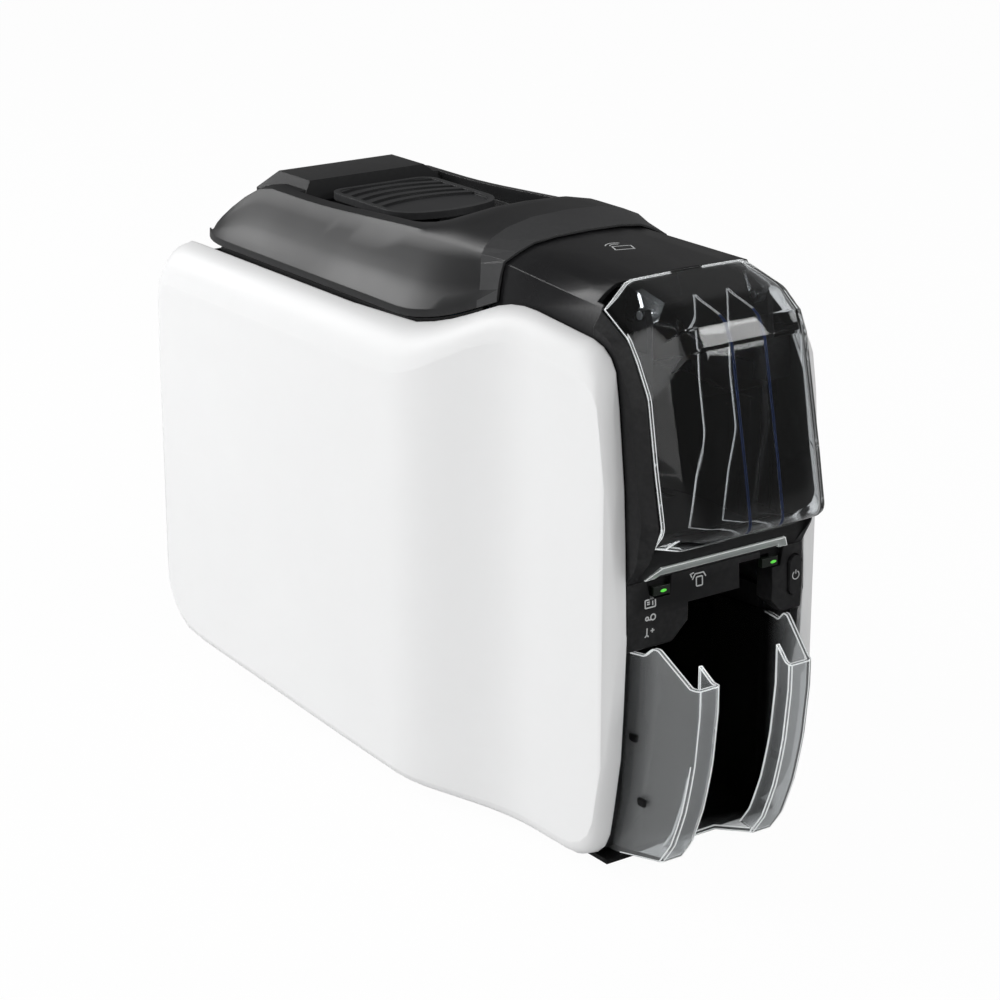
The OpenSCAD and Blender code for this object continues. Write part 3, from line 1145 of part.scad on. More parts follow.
module printhead() {
  color([0.55, 0.35, 0.25]) {
    translate([-26.8, platen_y - 7, path_z + 6.4]) cube([53.6, 14, 5]);
    across(-26.8, 26.8) polygon([
      [platen_y - 5, path_z + 6.4 + eps], [platen_y - 2.2, path_z + card_t + 0.9],
      [platen_y + 2.2, path_z + card_t + 0.9], [platen_y + 5, path_z + 6.4 + eps]]);
  }
  color(steel) for (i = [0:6]) translate([-26.8, platen_y - 7 + 2.1 * i, path_z + 11.4 - eps])
    cube([53.6, 1.2, 6]);
}

// ---- release pad ----
pad_z = 258.4;
pad_travel = 2.5;
stem_y = 44;
stem_l = 10;
stem_x = 7;
stem_z = latch_z + 3.35;
module release_button() {
  color(black) {
    difference() {
      union() {
        translate([0, 0, lid_floor + gap + pad_travel]) linear_extrude(pad_z - lid_floor - gap - pad_travel)
          polygon(pad_outline(0));
      }
      translate([0, 0, pad_z - 1.2]) linear_extrude(3) polygon(pad_outline(3));
    }
    // finger ridges curved across the pad
    intersection() {
      translate([0, 0, lid_floor + gap + pad_travel]) linear_extrude(8) polygon(pad_outline(2.9));
      for (i = [0:5]) translate([0, pad_y - 62 + 9 * i, pad_z - 1.2 - eps]) difference() {
        cylinder(h = 1, r = 64, $fn = 96);
        translate([0, 0, -1]) cylinder(h = 3, r = 60, $fn = 96);
      }
    }
    // stem that reaches the latch lever
    translate([-stem_x, stem_y - stem_l / 2, stem_z])
      cube([2 * stem_x, stem_l, lid_floor + gap + pad_travel - stem_z + eps]);
  }
}
function pad_outline(d) = bent_loop([
  [pad_w / 2 - d, pad_y + pad_l / 2 - d, 9 - d], [-pad_w / 2 + d, pad_y + pad_l / 2 - d, 9 - d],
  [-pad_w / 2 + d, pad_y - pad_l / 2 + 6 + d, 16 - d], [-8, pad_y - pad_l / 2 + d, 50],
  [8, pad_y - pad_l / 2 + d, 50], [pad_w / 2 - d, pad_y - pad_l / 2 + 6 + d, 16 - d]], 5);

base_pan();
rubber_feet();
side_panel_left();
side_panel_right();
rear_cover();
power_inlet();
usb_socket();
network_socket();
frame_left();
frame_right();
bushes();
panel_posts();
top_deck();
lid_hinge_pins();
hopper_housing();
front_bezel();
cover_pins();
lower_front();
light_pipe();
status_windows();
input_tray();
output_liner();
card_guide();
return_chute();
circuit_board();
drive_motor();
idler_studs();
ribbon_cartridge();
ribbon_film();
cleaning_roller();
frame_screws();
hopper_cover();
cover_ears();
output_hopper();
power_button();
top_lid();
lid_frame();
printhead_bracket();
printhead();
release_button();
latch_lever();
platen_roller();
platen_gear();
feed_roller();
feed_gear();
rear_roller();
rear_gear();
pick_roller();
pick_gear();
front_pinch_roller();
rear_pinch_roller();
front_idler();
rear_idler();
pick_idler();
reducer_gear();
motor_pinion();
supply_spool();
takeup_spool();
card_gate();
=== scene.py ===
"""Looks of a desktop id card printer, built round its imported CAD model.

Every piece sits in the frame of the CAD model, in metres. Shells that need a smoother skin stand in
for their CAD node; the other nodes keep their own mesh and take a finish. Signs, lamps, light lines,
clip tabs and the plate behind the cards are pieces of the scene alone.
"""

import logging
import math
from contextlib import contextmanager
from dataclasses import dataclass, field
from enum import Enum
from typing import Callable, Iterator, Sequence

import bmesh
import bpy
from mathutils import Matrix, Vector
from mathutils.bvhtree import BVHTree


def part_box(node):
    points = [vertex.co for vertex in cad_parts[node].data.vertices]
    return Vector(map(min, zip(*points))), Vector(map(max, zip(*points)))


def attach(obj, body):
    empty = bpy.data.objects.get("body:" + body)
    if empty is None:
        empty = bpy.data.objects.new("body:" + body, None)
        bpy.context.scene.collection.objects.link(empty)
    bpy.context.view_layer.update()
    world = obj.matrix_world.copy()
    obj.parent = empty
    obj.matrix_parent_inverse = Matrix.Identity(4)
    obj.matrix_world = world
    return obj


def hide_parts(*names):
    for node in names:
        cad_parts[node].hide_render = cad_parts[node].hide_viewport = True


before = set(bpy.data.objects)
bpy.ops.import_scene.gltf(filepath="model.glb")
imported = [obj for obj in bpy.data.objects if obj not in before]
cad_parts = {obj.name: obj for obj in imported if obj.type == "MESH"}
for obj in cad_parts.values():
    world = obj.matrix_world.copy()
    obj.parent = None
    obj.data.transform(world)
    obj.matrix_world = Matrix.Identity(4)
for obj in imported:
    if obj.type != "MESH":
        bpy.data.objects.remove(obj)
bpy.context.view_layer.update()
LOG = logging.getLogger("card_printer")
MM = 0.001
CRISP = 30.0  # edges sharper than this, in degrees, count as crisp
FLAT = 0.4  # faces within this many degrees count as one
SAME_PLACE = 4e-6  # corners nearer than this, in metres, are one
RIM_ANGLE = 1.2  # edges of a plate sharper than this, in radians, are its rim
ACROSS = 0.5  # an edge with more of its direction than this across runs across
SQUARE = ((-1, -1), (1, -1), (1, 1), (-1, 1))
FIRST_RGBA, SECOND_RGBA, RGBA_OUT = 6, 7, 2  # colour sockets of the mix node
Point2 = tuple[float, float]
Point3 = tuple[float, float, float]
Colour = tuple[float, float, float]
Object, Mesh = bpy.types.Object, bpy.types.Mesh
Node, Socket = bpy.types.Node, bpy.types.NodeSocket
GeometryTree = bpy.types.GeometryNodeTree
FaceTest = Callable[[Vector, Vector], bool]
EdgeTest = Callable[[Vector, Vector, bool], bool]


# ---------------------------------------------------------------- finishes


class Grain(Enum):
    """How the fine surface of a finish is made."""

    SPARK = "spark eroded mould texture"
    SATIN = "fine satin mould texture"
    POLISHED = "polished mould"
    BRUSHED = "drawn or brushed along the width"
    TURNED = "turned on a lathe"
    RUBBER = "ground rubber"
    BOARD = "printed circuit board"
    FILM = "dye panels on film"


# The relief of each grain: how it is drawn out by axis, features to a metre and octaves
RELIEFS: dict[Grain, tuple[Point3 | None, float, float]] = {
    Grain.SPARK: (None, 1500.0, 3.0),
    Grain.POLISHED: (None, 55.0, 1.0),
    Grain.BRUSHED: ((0.03, 1.0, 1.0), 2600.0, 2.0),
    Grain.TURNED: ((1.0, 0.05, 0.05), 3200.0, 1.0),
    Grain.RUBBER: (None, 950.0, 5.0),
}
PLAIN_RELIEF = (None, 2300.0, 2.0)
TONE_SCALE, SMUDGE_SCALE, WEAR_SCALE = 38.0, 16.0, 420.0  # features to a metre
WORN_FROM, WORN_TO = 0.52, 0.62  # pointiness where wear starts and where it is full
RUBBED_LIGHTER = 0.16
SMOOTHER, ROUGHER = 0.88, 1.14  # shares of the roughness between which it varies


@dataclass(frozen=True)
class Finish:
    """One surface finish, turned into a node material when it is first used.

    The wear value is how far edges are rubbed lighter, from 0 to 1. Grain depth and edge rounding
    are in millimetres. A finish given a painted-shade place along y paints shade: behind that place
    it takes a dark painted-shade colour, standing in for the shade inside a bin, along a slanted
    line and over a fade length, in metres.
    """

    name: str
    slot: str
    colour: Colour
    roughness: float = 0.4
    grain: Grain = Grain.SATIN
    grain_depth: float = 0.02
    variation: float = 0.04
    wear: float = 0.15
    metal: float = 0.0
    transmission: float = 0.0
    ior: float = 1.46
    edge_round: float = 0.35
    glow: float = 0.0
    specular: float = 0.5
    # painted shade: these fields turn the colour dark behind a line, standing in for shade inside a
    # bin
    painted_shade_from_y: float = 0.0
    painted_shade_slant: float = 0.29
    painted_shade_fade: float = 0.018
    painted_shade_colour: Colour = (0.0, 0.0, 0.0)

    def material(self) -> bpy.types.Material:
        """Returns the material of this finish, made once."""
        return bpy.data.materials.get(self.name) or self._build()

    def _build(self) -> bpy.types.Material:
        """Returns a new material with its node tree."""
        mat = bpy.data.materials.new(self.name)
        mat.use_nodes = True
        tree = mat.node_tree
        tree.nodes.clear()
        nodes = NodeHand(tree)
        coords = nodes.add("ShaderNodeTexCoord")
        shader = nodes.add("ShaderNodeBsdfPrincipled")
        out = nodes.add("ShaderNodeOutputMaterial")
        nodes.link(shader.outputs["BSDF"], out.inputs["Surface"])
        place = coords.outputs["Object"]

        broad = nodes.noise(place, TONE_SCALE, 3.0)
        colour = nodes.mix_colour(
            broad,
            tuple(c * (1 - self.variation) for c in self.colour),
            tuple(min(1.0, c * (1 + self.variation)) for c in self.colour),
        )
        colour = self._patterned(nodes, place, colour)
        if self.wear > 0:
            edges = nodes.add("ShaderNodeNewGeometry").outputs["Pointiness"]
            edges = nodes.map_range(edges, WORN_FROM, WORN_TO)
            patchy = nodes.math("MULTIPLY", edges, nodes.noise(place, WEAR_SCALE, 2.0))
            amount = nodes.math("MULTIPLY", patchy, self.wear)
            rubbed = tuple(min(1.0, c + RUBBED_LIGHTER) for c in self.colour)
            colour = nodes.mix_colour(amount, colour, rubbed)
        nodes.link(colour, shader.inputs["Base Color"])

        smudge = nodes.noise(place, SMUDGE_SCALE, 4.0)
        low, high = self.roughness * SMOOTHER, min(1.0, self.roughness * ROUGHER)
        nodes.link(nodes.map_range(smudge, 0.3, 0.7, low, high), shader.inputs["Roughness"])
        shader.inputs["Metallic"].default_value = self.metal
        shader.inputs["IOR"].default_value = self.ior
        shader.inputs["Transmission Weight"].default_value = self.transmission
        shader.inputs["Specular IOR Level"].default_value = self.specular
        if self.glow:
            shader.inputs["Emission Color"].default_value = (*self.colour, 1.0)
            shader.inputs["Emission Strength"].default_value = self.glow
        nodes.link(self._relief(nodes, place), shader.inputs["Normal"])
        return mat

    def _patterned(self, nodes: "NodeHand", place: Socket, colour: Socket) -> Socket:
        """Adds the pattern that a board or a dye film shows, or the painted shade in a bin's inside.

        Args:
            nodes: the tree being built.
            place: object coordinates.
            colour: the plain colour so far.

        Returns:
            The patterned colour.
        """
        # painted shade: the colour turns dark towards the back of the bin, where shade falls inside
        # the printer
        if self.painted_shade_from_y:
            axes = nodes.add("ShaderNodeSeparateXYZ")
            nodes.link(place, axes.inputs["Vector"])
            slant = nodes.math("MULTIPLY", axes.outputs["X"], self.painted_shade_slant)
            along = nodes.math("ADD", axes.outputs["Y"], slant)
            inward = nodes.math("SUBTRACT", along, self.painted_shade_from_y)
            share = nodes.math("DIVIDE", inward, self.painted_shade_fade)
            return nodes.mix_colour(share, colour, self.painted_shade_colour)
        if self.grain is Grain.BOARD:
            cells = nodes.add("ShaderNodeTexVoronoi")
            cells.feature = "DISTANCE_TO_EDGE"
            cells.inputs["Scale"].default_value = 210.0
            nodes.link(place, cells.inputs["Vector"])
            tracks = nodes.map_range(cells.outputs["Distance"], 0.08, 0.02)
            return nodes.mix_colour(tracks, colour, (0.12, 0.38, 0.16))
        if self.grain is Grain.FILM:
            bands = nodes.add("ShaderNodeTexWave")
            bands.wave_type = "BANDS"
            bands.bands_direction = "Y"
            bands.inputs["Scale"].default_value = 9.0
            nodes.link(place, bands.inputs["Vector"])
            dyes = nodes.add("ShaderNodeValToRGB")
            dyes.color_ramp.interpolation = "CONSTANT"
            first, last = dyes.color_ramp.elements
            first.color = (0.75, 0.62, 0.05, 1.0)
            last.position = 0.6
            last.color = (0.02, 0.22, 0.5, 1.0)
            dyes.color_ramp.elements.new(0.3).color = (0.6, 0.05, 0.22, 1.0)
            nodes.link(bands.outputs["Color"], dyes.inputs["Fac"])
            return dyes.outputs["Color"]
        return colour

    def _relief(self, nodes: "NodeHand", place: Socket) -> Socket:
        """Makes the fine relief on top of softened edges.

        Args:
            nodes: the tree being built.
            place: object coordinates.

        Returns:
            The normal for the shader.
        """
        soft = nodes.add("ShaderNodeBevel")
        soft.samples = 4
        soft.inputs["Radius"].default_value = self.edge_round * MM
        stretch, scale, detail = RELIEFS.get(self.grain, PLAIN_RELIEF)
        if stretch:
            place = nodes.stretched(place, stretch)
        height = nodes.noise(place, scale, detail)
        bump = nodes.add("ShaderNodeBump")
        bump.inputs["Strength"].default_value = 1.0
        bump.inputs["Distance"].default_value = self.grain_depth * MM
        nodes.link(height, bump.inputs["Height"])
        nodes.link(soft.outputs["Normal"], bump.inputs["Normal"])
        return bump.outputs["Normal"]


@dataclass
class NodeHand:
    """Short ways to add and join the nodes of one tree."""

    tree: bpy.types.NodeTree

    def add(self, kind: str) -> Node:
        """Returns a new node of that kind."""
        return self.tree.nodes.new(kind)

    def link(self, a: Socket, b: Socket) -> None:
        """Joins two sockets."""
        self.tree.links.new(a, b)

    def noise(self, place: Socket, scale: float, detail: float) -> Socket:
        """Returns the value of a noise pattern.

        Args:
            place: coordinates of the pattern.
            scale: features to a metre.
            detail: octaves.
        """
        node = self.add("ShaderNodeTexNoise")
        node.inputs["Scale"].default_value = scale
        node.inputs["Detail"].default_value = detail
        self.link(place, node.inputs["Vector"])
        return node.outputs["Fac"]

    def stretched(self, place: Socket, scale: Point3) -> Socket:
        """Returns coordinates scaled by axis, which draws a pattern out."""
        node = self.add("ShaderNodeMapping")
        node.inputs["Scale"].default_value = scale
        self.link(place, node.inputs["Vector"])
        return node.outputs["Vector"]

    def math(self, kind: str, a: Socket, b: Socket | float) -> Socket:
        """Returns the result of a two-value sum.

        Args:
            kind: the operation.
            a: first value.
            b: second value, a socket or a number.
        """
        node = self.add("ShaderNodeMath")
        node.operation = kind
        self.link(a, node.inputs[0])
        if isinstance(b, (int, float)):
            node.inputs[1].default_value = b
        else:
            self.link(b, node.inputs[1])
        return node.outputs["Value"]

    def map_range(
        self, value: Socket, start: float, end: float, low: float = 0.0, high: float = 1.0
    ) -> Socket:
        """Returns the value taken from start..end to low..high, held at both ends."""
        node = self.add("ShaderNodeMapRange")
        node.inputs["From Min"].default_value = start
        node.inputs["From Max"].default_value = end
        node.inputs["To Min"].default_value = low
        node.inputs["To Max"].default_value = high
        self.link(value, node.inputs["Value"])
        return node.outputs["Result"]

    def mix_colour(self, value: Socket, a: Socket | Colour, b: Colour) -> Socket:
        """Returns a colour between a, a socket or a plain colour, and the plain colour b."""
        node = self.add("ShaderNodeMix")
        node.data_type = "RGBA"
        self.link(value, node.inputs["Factor"])
        if isinstance(a, tuple):
            node.inputs[FIRST_RGBA].default_value = (*a, 1.0)
        else:
            self.link(a, node.inputs[FIRST_RGBA])
        node.inputs[SECOND_RGBA].default_value = (*b, 1.0)
        return node.outputs[RGBA_OUT]


WHITE_SHELL = Finish(
    "white_shell", "white_plastic", (0.885, 0.888, 0.89), 0.46, Grain.SATIN, 0.006, 0.008, 0.0,
    edge_round=0.8, specular=0.35,
)
CHARCOAL_SHELL = Finish(
    "charcoal_shell", "charcoal_plastic", (0.013, 0.0132, 0.014), 0.4, Grain.SPARK, 0.014, 0.1, 0.2,
    edge_round=0.7, specular=0.36,
)
SATIN_BLACK = Finish(
    "satin_black", "charcoal_plastic", (0.008, 0.008, 0.009), 0.3, Grain.SATIN, 0.008, 0.1, 0.2,
    edge_round=0.6, specular=0.28,
)
MATT_BLACK = Finish(
    "matt_black", "black_plastic", (0.006, 0.006, 0.0065), 0.55, Grain.SPARK, 0.006, 0.12, 0.1,
    specular=0.25,
)
CLEAR = Finish(
    "clear_cover", "clear_plastic", (0.9, 0.92, 0.935), 0.03, Grain.POLISHED, 0.01, 0.004, 0.0,
    transmission=1.0, ior=1.36, edge_round=0.5,
)
# the smoke finish carries painted shade: dark colour on the part behind y = -0.16
SMOKE = Finish(
    "smoke_polished", "smoke_clear", (0.8, 0.82, 0.83), 0.05, Grain.POLISHED, 0.01, 0.01, 0.0,
    transmission=0.82, ior=1.4, edge_round=0.5, painted_shade_from_y=-0.16, painted_shade_colour=(0.03, 0.031, 0.032),
)
FROSTED = Finish(
    "frosted_bar", "clear_plastic", (0.42, 0.45, 0.44), 0.2, Grain.SATIN, 0.02, 0.25, 0.0,
    transmission=0.5, ior=1.49, edge_round=0.4, glow=0.08,
)
# painted reflection: bluish glowing bars standing in for reflections along the cover's rib roots
RIB_PAINTED_REFLECTION = Finish(
    "rib_edge", "clear_plastic", (0.06, 0.1, 0.26), 0.12, Grain.POLISHED, 0.01, 0.1, 0.0,
    transmission=0.4, ior=1.49, glow=0.03,
)
# painted highlight: glowing near-white bars laid along edges of the clear parts and the light bar
LIT_EDGE = Finish(
    "lit_edge", "clear_plastic", (0.93, 0.94, 0.94), 0.2, Grain.POLISHED, 0.01, 0.05, 0.0,
    transmission=0.4, ior=1.49, glow=0.32,
)
# painted highlight: a lighter copy of the charcoal plastic standing in for the release pad's sheen
PAD_PAINTED_HIGHLIGHT = Finish(
    "pad_grey", "charcoal_plastic", (0.03, 0.0305, 0.032), 0.42, Grain.SATIN, 0.008, 0.1, 0.2,
    edge_round=0.6, specular=0.32,
)
# painted shade: a darker, less reflective copy of the charcoal plastic for the faces that look
# forward, away from the lamps
FRONT_PAINTED_SHADE = Finish(
    "front_black", "charcoal_plastic", (0.009, 0.009, 0.0098), 0.42, Grain.SPARK, 0.014, 0.1, 0.2,
    edge_round=0.7, specular=0.22,
)
# painted highlight: a lighter copy of the charcoal plastic for the lid's collar, where the left lamp
# lights it
COLLAR_PAINTED_HIGHLIGHT = Finish(
    "collar_band", "charcoal_plastic", (0.05, 0.0505, 0.052), 0.36, Grain.SPARK, 0.014, 0.1, 0.2,
    edge_round=0.5, specular=0.4,
)
DARK_LENS = Finish(
    "dark_lens", "green_window", (0.008, 0.012, 0.008), 0.12, Grain.POLISHED, 0.01, 0.2, 0.0
)
GREEN_GLOW = Finish(
    "green_glow", "green_window", (0.1, 0.62, 0.06), 0.25, Grain.SATIN, 0.01, 0.2, 0.0, glow=0.6
)
INK_WHITE = Finish(
    "ink_white", "white_plastic", (0.62, 0.63, 0.63), 0.5, Grain.SATIN, 0.003, 0.03, 0.0
)
FOOT_RUBBER = Finish(
    "foot_moulding", "foot_rubber", (0.018, 0.018, 0.018), 0.8, Grain.RUBBER, 0.05, 0.15, 0.1
)
ROLLER_RUBBER = Finish(
    "roller_coat", "roller_rubber", (0.045, 0.045, 0.05), 0.6, Grain.RUBBER, 0.02
)
STEEL = Finish(
    "zinc_steel", "bright_steel", (0.6, 0.61, 0.63), 0.32, Grain.BRUSHED, 0.008, 0.06, 0.3,
    metal=1.0,
)
ACETAL = Finish("acetal", "gear_plastic", (0.78, 0.76, 0.7), 0.38, Grain.SATIN, 0.008, 0.02, 0.1)
BRASS = Finish(
    "brass", "pinion_brass", (0.72, 0.55, 0.25), 0.28, Grain.TURNED, 0.006, 0.06, 0.2, metal=1.0
)
MOTOR = Finish(
    "motor_enamel", "motor_black", (0.05, 0.05, 0.055), 0.4, Grain.TURNED, 0.01, 0.1, 0.4
)
BOARD = Finish("solder_mask", "board", (0.015, 0.15, 0.06), 0.28, Grain.BOARD, 0.02, 0.08, 0.0)
CARTRIDGE = Finish(
    "cartridge_grey", "cartridge_plastic", (0.5, 0.53, 0.57), 0.35, Grain.SATIN, 0.01, 0.03, 0.1
)
DYE_FILM = Finish("dye_film", "ribbon", (0.12, 0.08, 0.2), 0.16, Grain.FILM, 0.004, 0.1, 0.0)
CLEANER = Finish(
    "tacky_blue", "cleaner_blue", (0.2, 0.4, 0.68), 0.24, Grain.RUBBER, 0.006, 0.04, 0.0
)
HEAD_ALLOY = Finish(
    "head_casting", "head_alloy", (0.5, 0.5, 0.52), 0.36, Grain.BRUSHED, 0.01, 0.05, 0.3, metal=1.0
)


# ---------------------------------------------------------------- mesh hands


def new_piece(name: str, mesh: Mesh, finish: Finish) -> Object:
    """Links a mesh as a piece with its finish.

    Args:
        name: the piece's name.
        mesh: its mesh, in place.
        finish: what it is made of.

    Returns:
        The new object.
    """
    piece = bpy.data.objects.new(name, mesh)
    bpy.context.scene.collection.objects.link(piece)
    mesh.materials.clear()
    mesh.materials.append(finish.material())
    return piece


@contextmanager
def worked(mesh: Mesh) -> Iterator[bmesh.types.BMesh]:
    """Opens a mesh for editing and writes it back."""
    work = bmesh.new()
    work.from_mesh(mesh)
    yield work
    work.to_mesh(mesh)
    work.free()


def faces_of(node: str) -> tuple[list[Point3], list[tuple[int, ...]]]:
    """Returns the corners and faces of a CAD node."""
    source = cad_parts[node].data
    return [v.co[:] for v in source.vertices], [p.vertices[:] for p in source.polygons]


def merged_copy(node: str, name: str) -> Mesh:
    """Copies a CAD node's triangles into one joined mesh, with flat regions made single faces.

    Args:
        node: the CAD node.
        name: name of the new mesh.

    Returns:
        The new mesh.
    """
    corners, faces = faces_of(node)
    mesh = bpy.data.meshes.new(name)
    mesh.from_pydata(corners, [], faces)
    limit = math.radians(FLAT)
    with worked(mesh) as work:
        bmesh.ops.remove_doubles(work, verts=work.verts, dist=SAME_PLACE)
        bmesh.ops.dissolve_limit(work, angle_limit=limit, verts=work.verts, edges=work.edges)
    return mesh


def smooth_by_angle(mesh: Mesh, angle: float) -> None:
    """Shades a mesh smooth apart from edges sharper than the angle, in degrees."""
    limit = math.radians(angle)
    with worked(mesh) as work:
        for face in work.faces:
            face.smooth = True
        for edge in work.edges:
            edge.smooth = edge.is_manifold and edge.calc_face_angle(0.0) < limit


def crease(mesh: Mesh, inside: FaceTest) -> None:
    """Keeps a crisp line round part of a skin.

    Args:
        mesh: the mesh, already shaded smooth.
        inside: tells from a face's centre and normal whether it is in that part.
    """
    with worked(mesh) as work:
        for edge in work.edges:
            if len(edge.link_faces) == 2:
                a, b = (inside(f.calc_center_median(), f.normal) for f in edge.link_faces)
                if a != b:
                    edge.smooth = False


def baked(piece: Object) -> Object:
    """Turns a piece's modifiers into plain mesh.

    Args:
        piece: the object with live modifiers.

    Returns:
        The same object with its mesh replaced and no modifiers.
    """
    graph = bpy.context.evaluated_depsgraph_get()
    mesh = bpy.data.meshes.new_from_object(piece.evaluated_get(graph), depsgraph=graph)
    piece.modifiers.clear()
    old = piece.data
    piece.data = mesh
    bpy.data.meshes.remove(old)
    return piece


def declare(piece: Object, body: str, finish: Finish, *nodes: str) -> Object:
    """Says what a piece rides on and hides the CAD nodes it stands for.

    Args:
        piece: the piece.
        body: the CAD body that carries it.
        finish: its finish; not used.
        *nodes: CAD nodes it replaces, if any.

    Returns:
        The piece.
    """
    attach(piece, body)
    if nodes:
        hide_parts(*nodes)
    LOG.info("piece %s on %s, %d faces", piece.name, body, len(piece.data.polygons))
    return piece


def refined(node: str, body: str, finish: Finish, angle: float) -> Object:
    """Makes a smooth-skinned copy of a CAD node that stands for it.

    Args:
        node: the CAD node.
        body: the body that carries it.
        finish: its finish.
        angle: edges sharper than this, in degrees, stay sharp in shading.

    Returns:
        The new piece.
    """
    piece = new_piece(node + "_dressed", merged_copy(node, node + "_skin"), finish)
    smooth_by_angle(piece.data, angle)
    return declare(piece, body, finish, node)


def painted(piece: Object, finish: Finish, inside: FaceTest) -> None:
    """Gives part of a piece's skin a second finish; on the lid this paints the collar lighter as a
    painted highlight.

    Args:
        piece: the piece.
        finish: the finish of that part.
        inside: tells from a face's centre and normal whether it is in that part.
    """
    piece.data.materials.append(finish.material())
    last = len(piece.data.materials) - 1
    for face in piece.data.polygons:
        if inside(face.center, face.normal):
            face.material_index = last


def dress(node: str, finish: Finish) -> None:
    """Gives a CAD node that keeps its own mesh a finish."""
    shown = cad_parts[node]
    for place in shown.material_slots:
        place.material = finish.material()
    if not shown.material_slots:
        shown.data.materials.append(finish.material())
    LOG.info("node %s takes %s", node, finish.name)


# ---------------------------------------------------------------- geometry node trees


@dataclass
class Repeater:
    """A Geometry Nodes tree that sets a small shape on given points, or sweeps one along a path."""

    name: str
    finish: Finish
    inputs: dict[str, float] = field(default_factory=dict)

    def _tree(self) -> tuple[GeometryTree, Node, Node]:
        """Returns a new tree with its input and output nodes, and one socket for each size."""
        tree = bpy.data.node_groups.new(self.name, "GeometryNodeTree")
        tree.interface.new_socket("Geometry", in_out="INPUT", socket_type="NodeSocketGeometry")
        for key, value in self.inputs.items():
            made = tree.interface.new_socket(key, in_out="INPUT", socket_type="NodeSocketFloat")
            made.default_value = value
        tree.interface.new_socket("Geometry", in_out="OUTPUT", socket_type="NodeSocketGeometry")
        return tree, tree.nodes.new("NodeGroupInput"), tree.nodes.new("NodeGroupOutput")

    def _finish_tree(self, tree: GeometryTree, last: Socket, out: Node) -> None:
        """Ends a tree in Realize Instances and Set Material.

        Args:
            tree: the tree.
            last: the geometry so far.
            out: the tree's output node.
        """
        real = tree.nodes.new("GeometryNodeRealizeInstances")
        paint = tree.nodes.new("GeometryNodeSetMaterial")
        paint.inputs["Material"].default_value = self.finish.material()
        tree.links.new(last, real.inputs["Geometry"])
        tree.links.new(real.outputs["Geometry"], paint.inputs["Geometry"])
        tree.links.new(paint.outputs["Geometry"], out.inputs["Geometry"])

    def _run(self, mesh: Mesh, tree: GeometryTree) -> Object:
        """Runs a tree on a mesh and bakes it.

        Args:
            mesh: points or path edges.
            tree: the tree.

        Returns:
            The baked piece.
        """
        piece = bpy.data.objects.new(self.name, mesh)
        bpy.context.scene.collection.objects.link(piece)
        hook = piece.modifiers.new("repeat", "NODES")
        hook.node_group = tree
        for socket in tree.interface.items_tree:
            if socket.in_out == "INPUT" and socket.name in self.inputs:
                hook[socket.identifier] = self.inputs[socket.name]
        bpy.context.view_layer.update()
        return baked(piece)

    def swept(self, lines: Mesh, sides: int = 6) -> Object:
        """Sweeps a round bar of the input Radius along edges.

        Args:
            lines: a mesh of edges, in metres.
            sides: faces round the bar.

        Returns:
            The baked piece.
        """
        tree, given, out = self._tree()
        curve = tree.nodes.new("GeometryNodeMeshToCurve")
        ring = tree.nodes.new("GeometryNodeCurvePrimitiveCircle")
        ring.inputs["Resolution"].default_value = sides
        sweep = tree.nodes.new("GeometryNodeCurveToMesh")
        sweep.inputs["Fill Caps"].default_value = True
        tree.links.new(given.outputs["Geometry"], curve.inputs["Mesh"])
        tree.links.new(given.outputs["Radius"], ring.inputs["Radius"])
        tree.links.new(curve.outputs["Curve"], sweep.inputs["Curve"])
        tree.links.new(ring.outputs["Curve"], sweep.inputs["Profile Curve"])
        self._finish_tree(tree, sweep.outputs["Mesh"], out)
        return self._run(lines, tree)

    def set_on(self, small: Mesh, points: Sequence[Point3]) -> Object:
        """Sets a shape on points.

        Args:
            small: the small shape round the origin.
            points: places in metres.

        Returns:
            The baked piece.
        """
        tree, given, out = self._tree()
        shape = bpy.data.objects.new(small.name, small)
        bpy.context.scene.collection.objects.link(shape)
        small.materials.append(self.finish.material())
        info = tree.nodes.new("GeometryNodeObjectInfo")
        info.inputs["Object"].default_value = shape
        place = tree.nodes.new("GeometryNodeInstanceOnPoints")
        tree.links.new(given.outputs["Geometry"], place.inputs["Points"])
        tree.links.new(info.outputs["Geometry"], place.inputs["Instance"])
        self._finish_tree(tree, place.outputs["Instances"], out)
        mesh = bpy.data.meshes.new(self.name + "_points")
        mesh.from_pydata(list(points), [], [])
        piece = self._run(mesh, tree)
        bpy.data.objects.remove(shape)
        return piece


def round_edges(work: bmesh.types.BMesh, edges: list[bmesh.types.BMEdge], width: float) -> None:
    """Rounds edges of an open mesh by a width in millimetres."""
    bmesh.ops.bevel(work, geom=edges, offset=width * MM, segments=2, affect="EDGES")


def edge_lines(node: str, keep: EdgeTest, sink: float) -> Mesh:
    """Finds the crisp edges of a clear piece, moved a little under its skin.

    Args:
        node: the CAD node.
        keep: tells from an edge's middle, its direction and whether it is a ridge if it's wanted.
        sink: how far the lines lie under the skin, in millimetres.

    Returns:
        A mesh of edges only.
    """
    lines = merged_copy(node, node + "_lines")
    with worked(lines) as work:
        work.normal_update()
        shift = {v: v.co - v.normal * sink * MM for v in work.verts}
        spare = []
        for edge in work.edges:
            a, b = (v.co for v in edge.verts)
            crisp = len(edge.link_faces) == 2 and edge.calc_face_angle(0.0) > math.radians(CRISP)
            if not (crisp and keep((a + b) / 2, (b - a).normalized(), edge.is_convex)):
                spare.append(edge)
        for v, place in shift.items():
            v.co = place
        bmesh.ops.delete(work, geom=list(work.faces), context="FACES_ONLY")
        bmesh.ops.delete(work, geom=[e for e in spare if e.is_valid], context="EDGES")
        bmesh.ops.delete(work, geom=[v for v in work.verts if not v.link_edges], context="VERTS")
    return lines


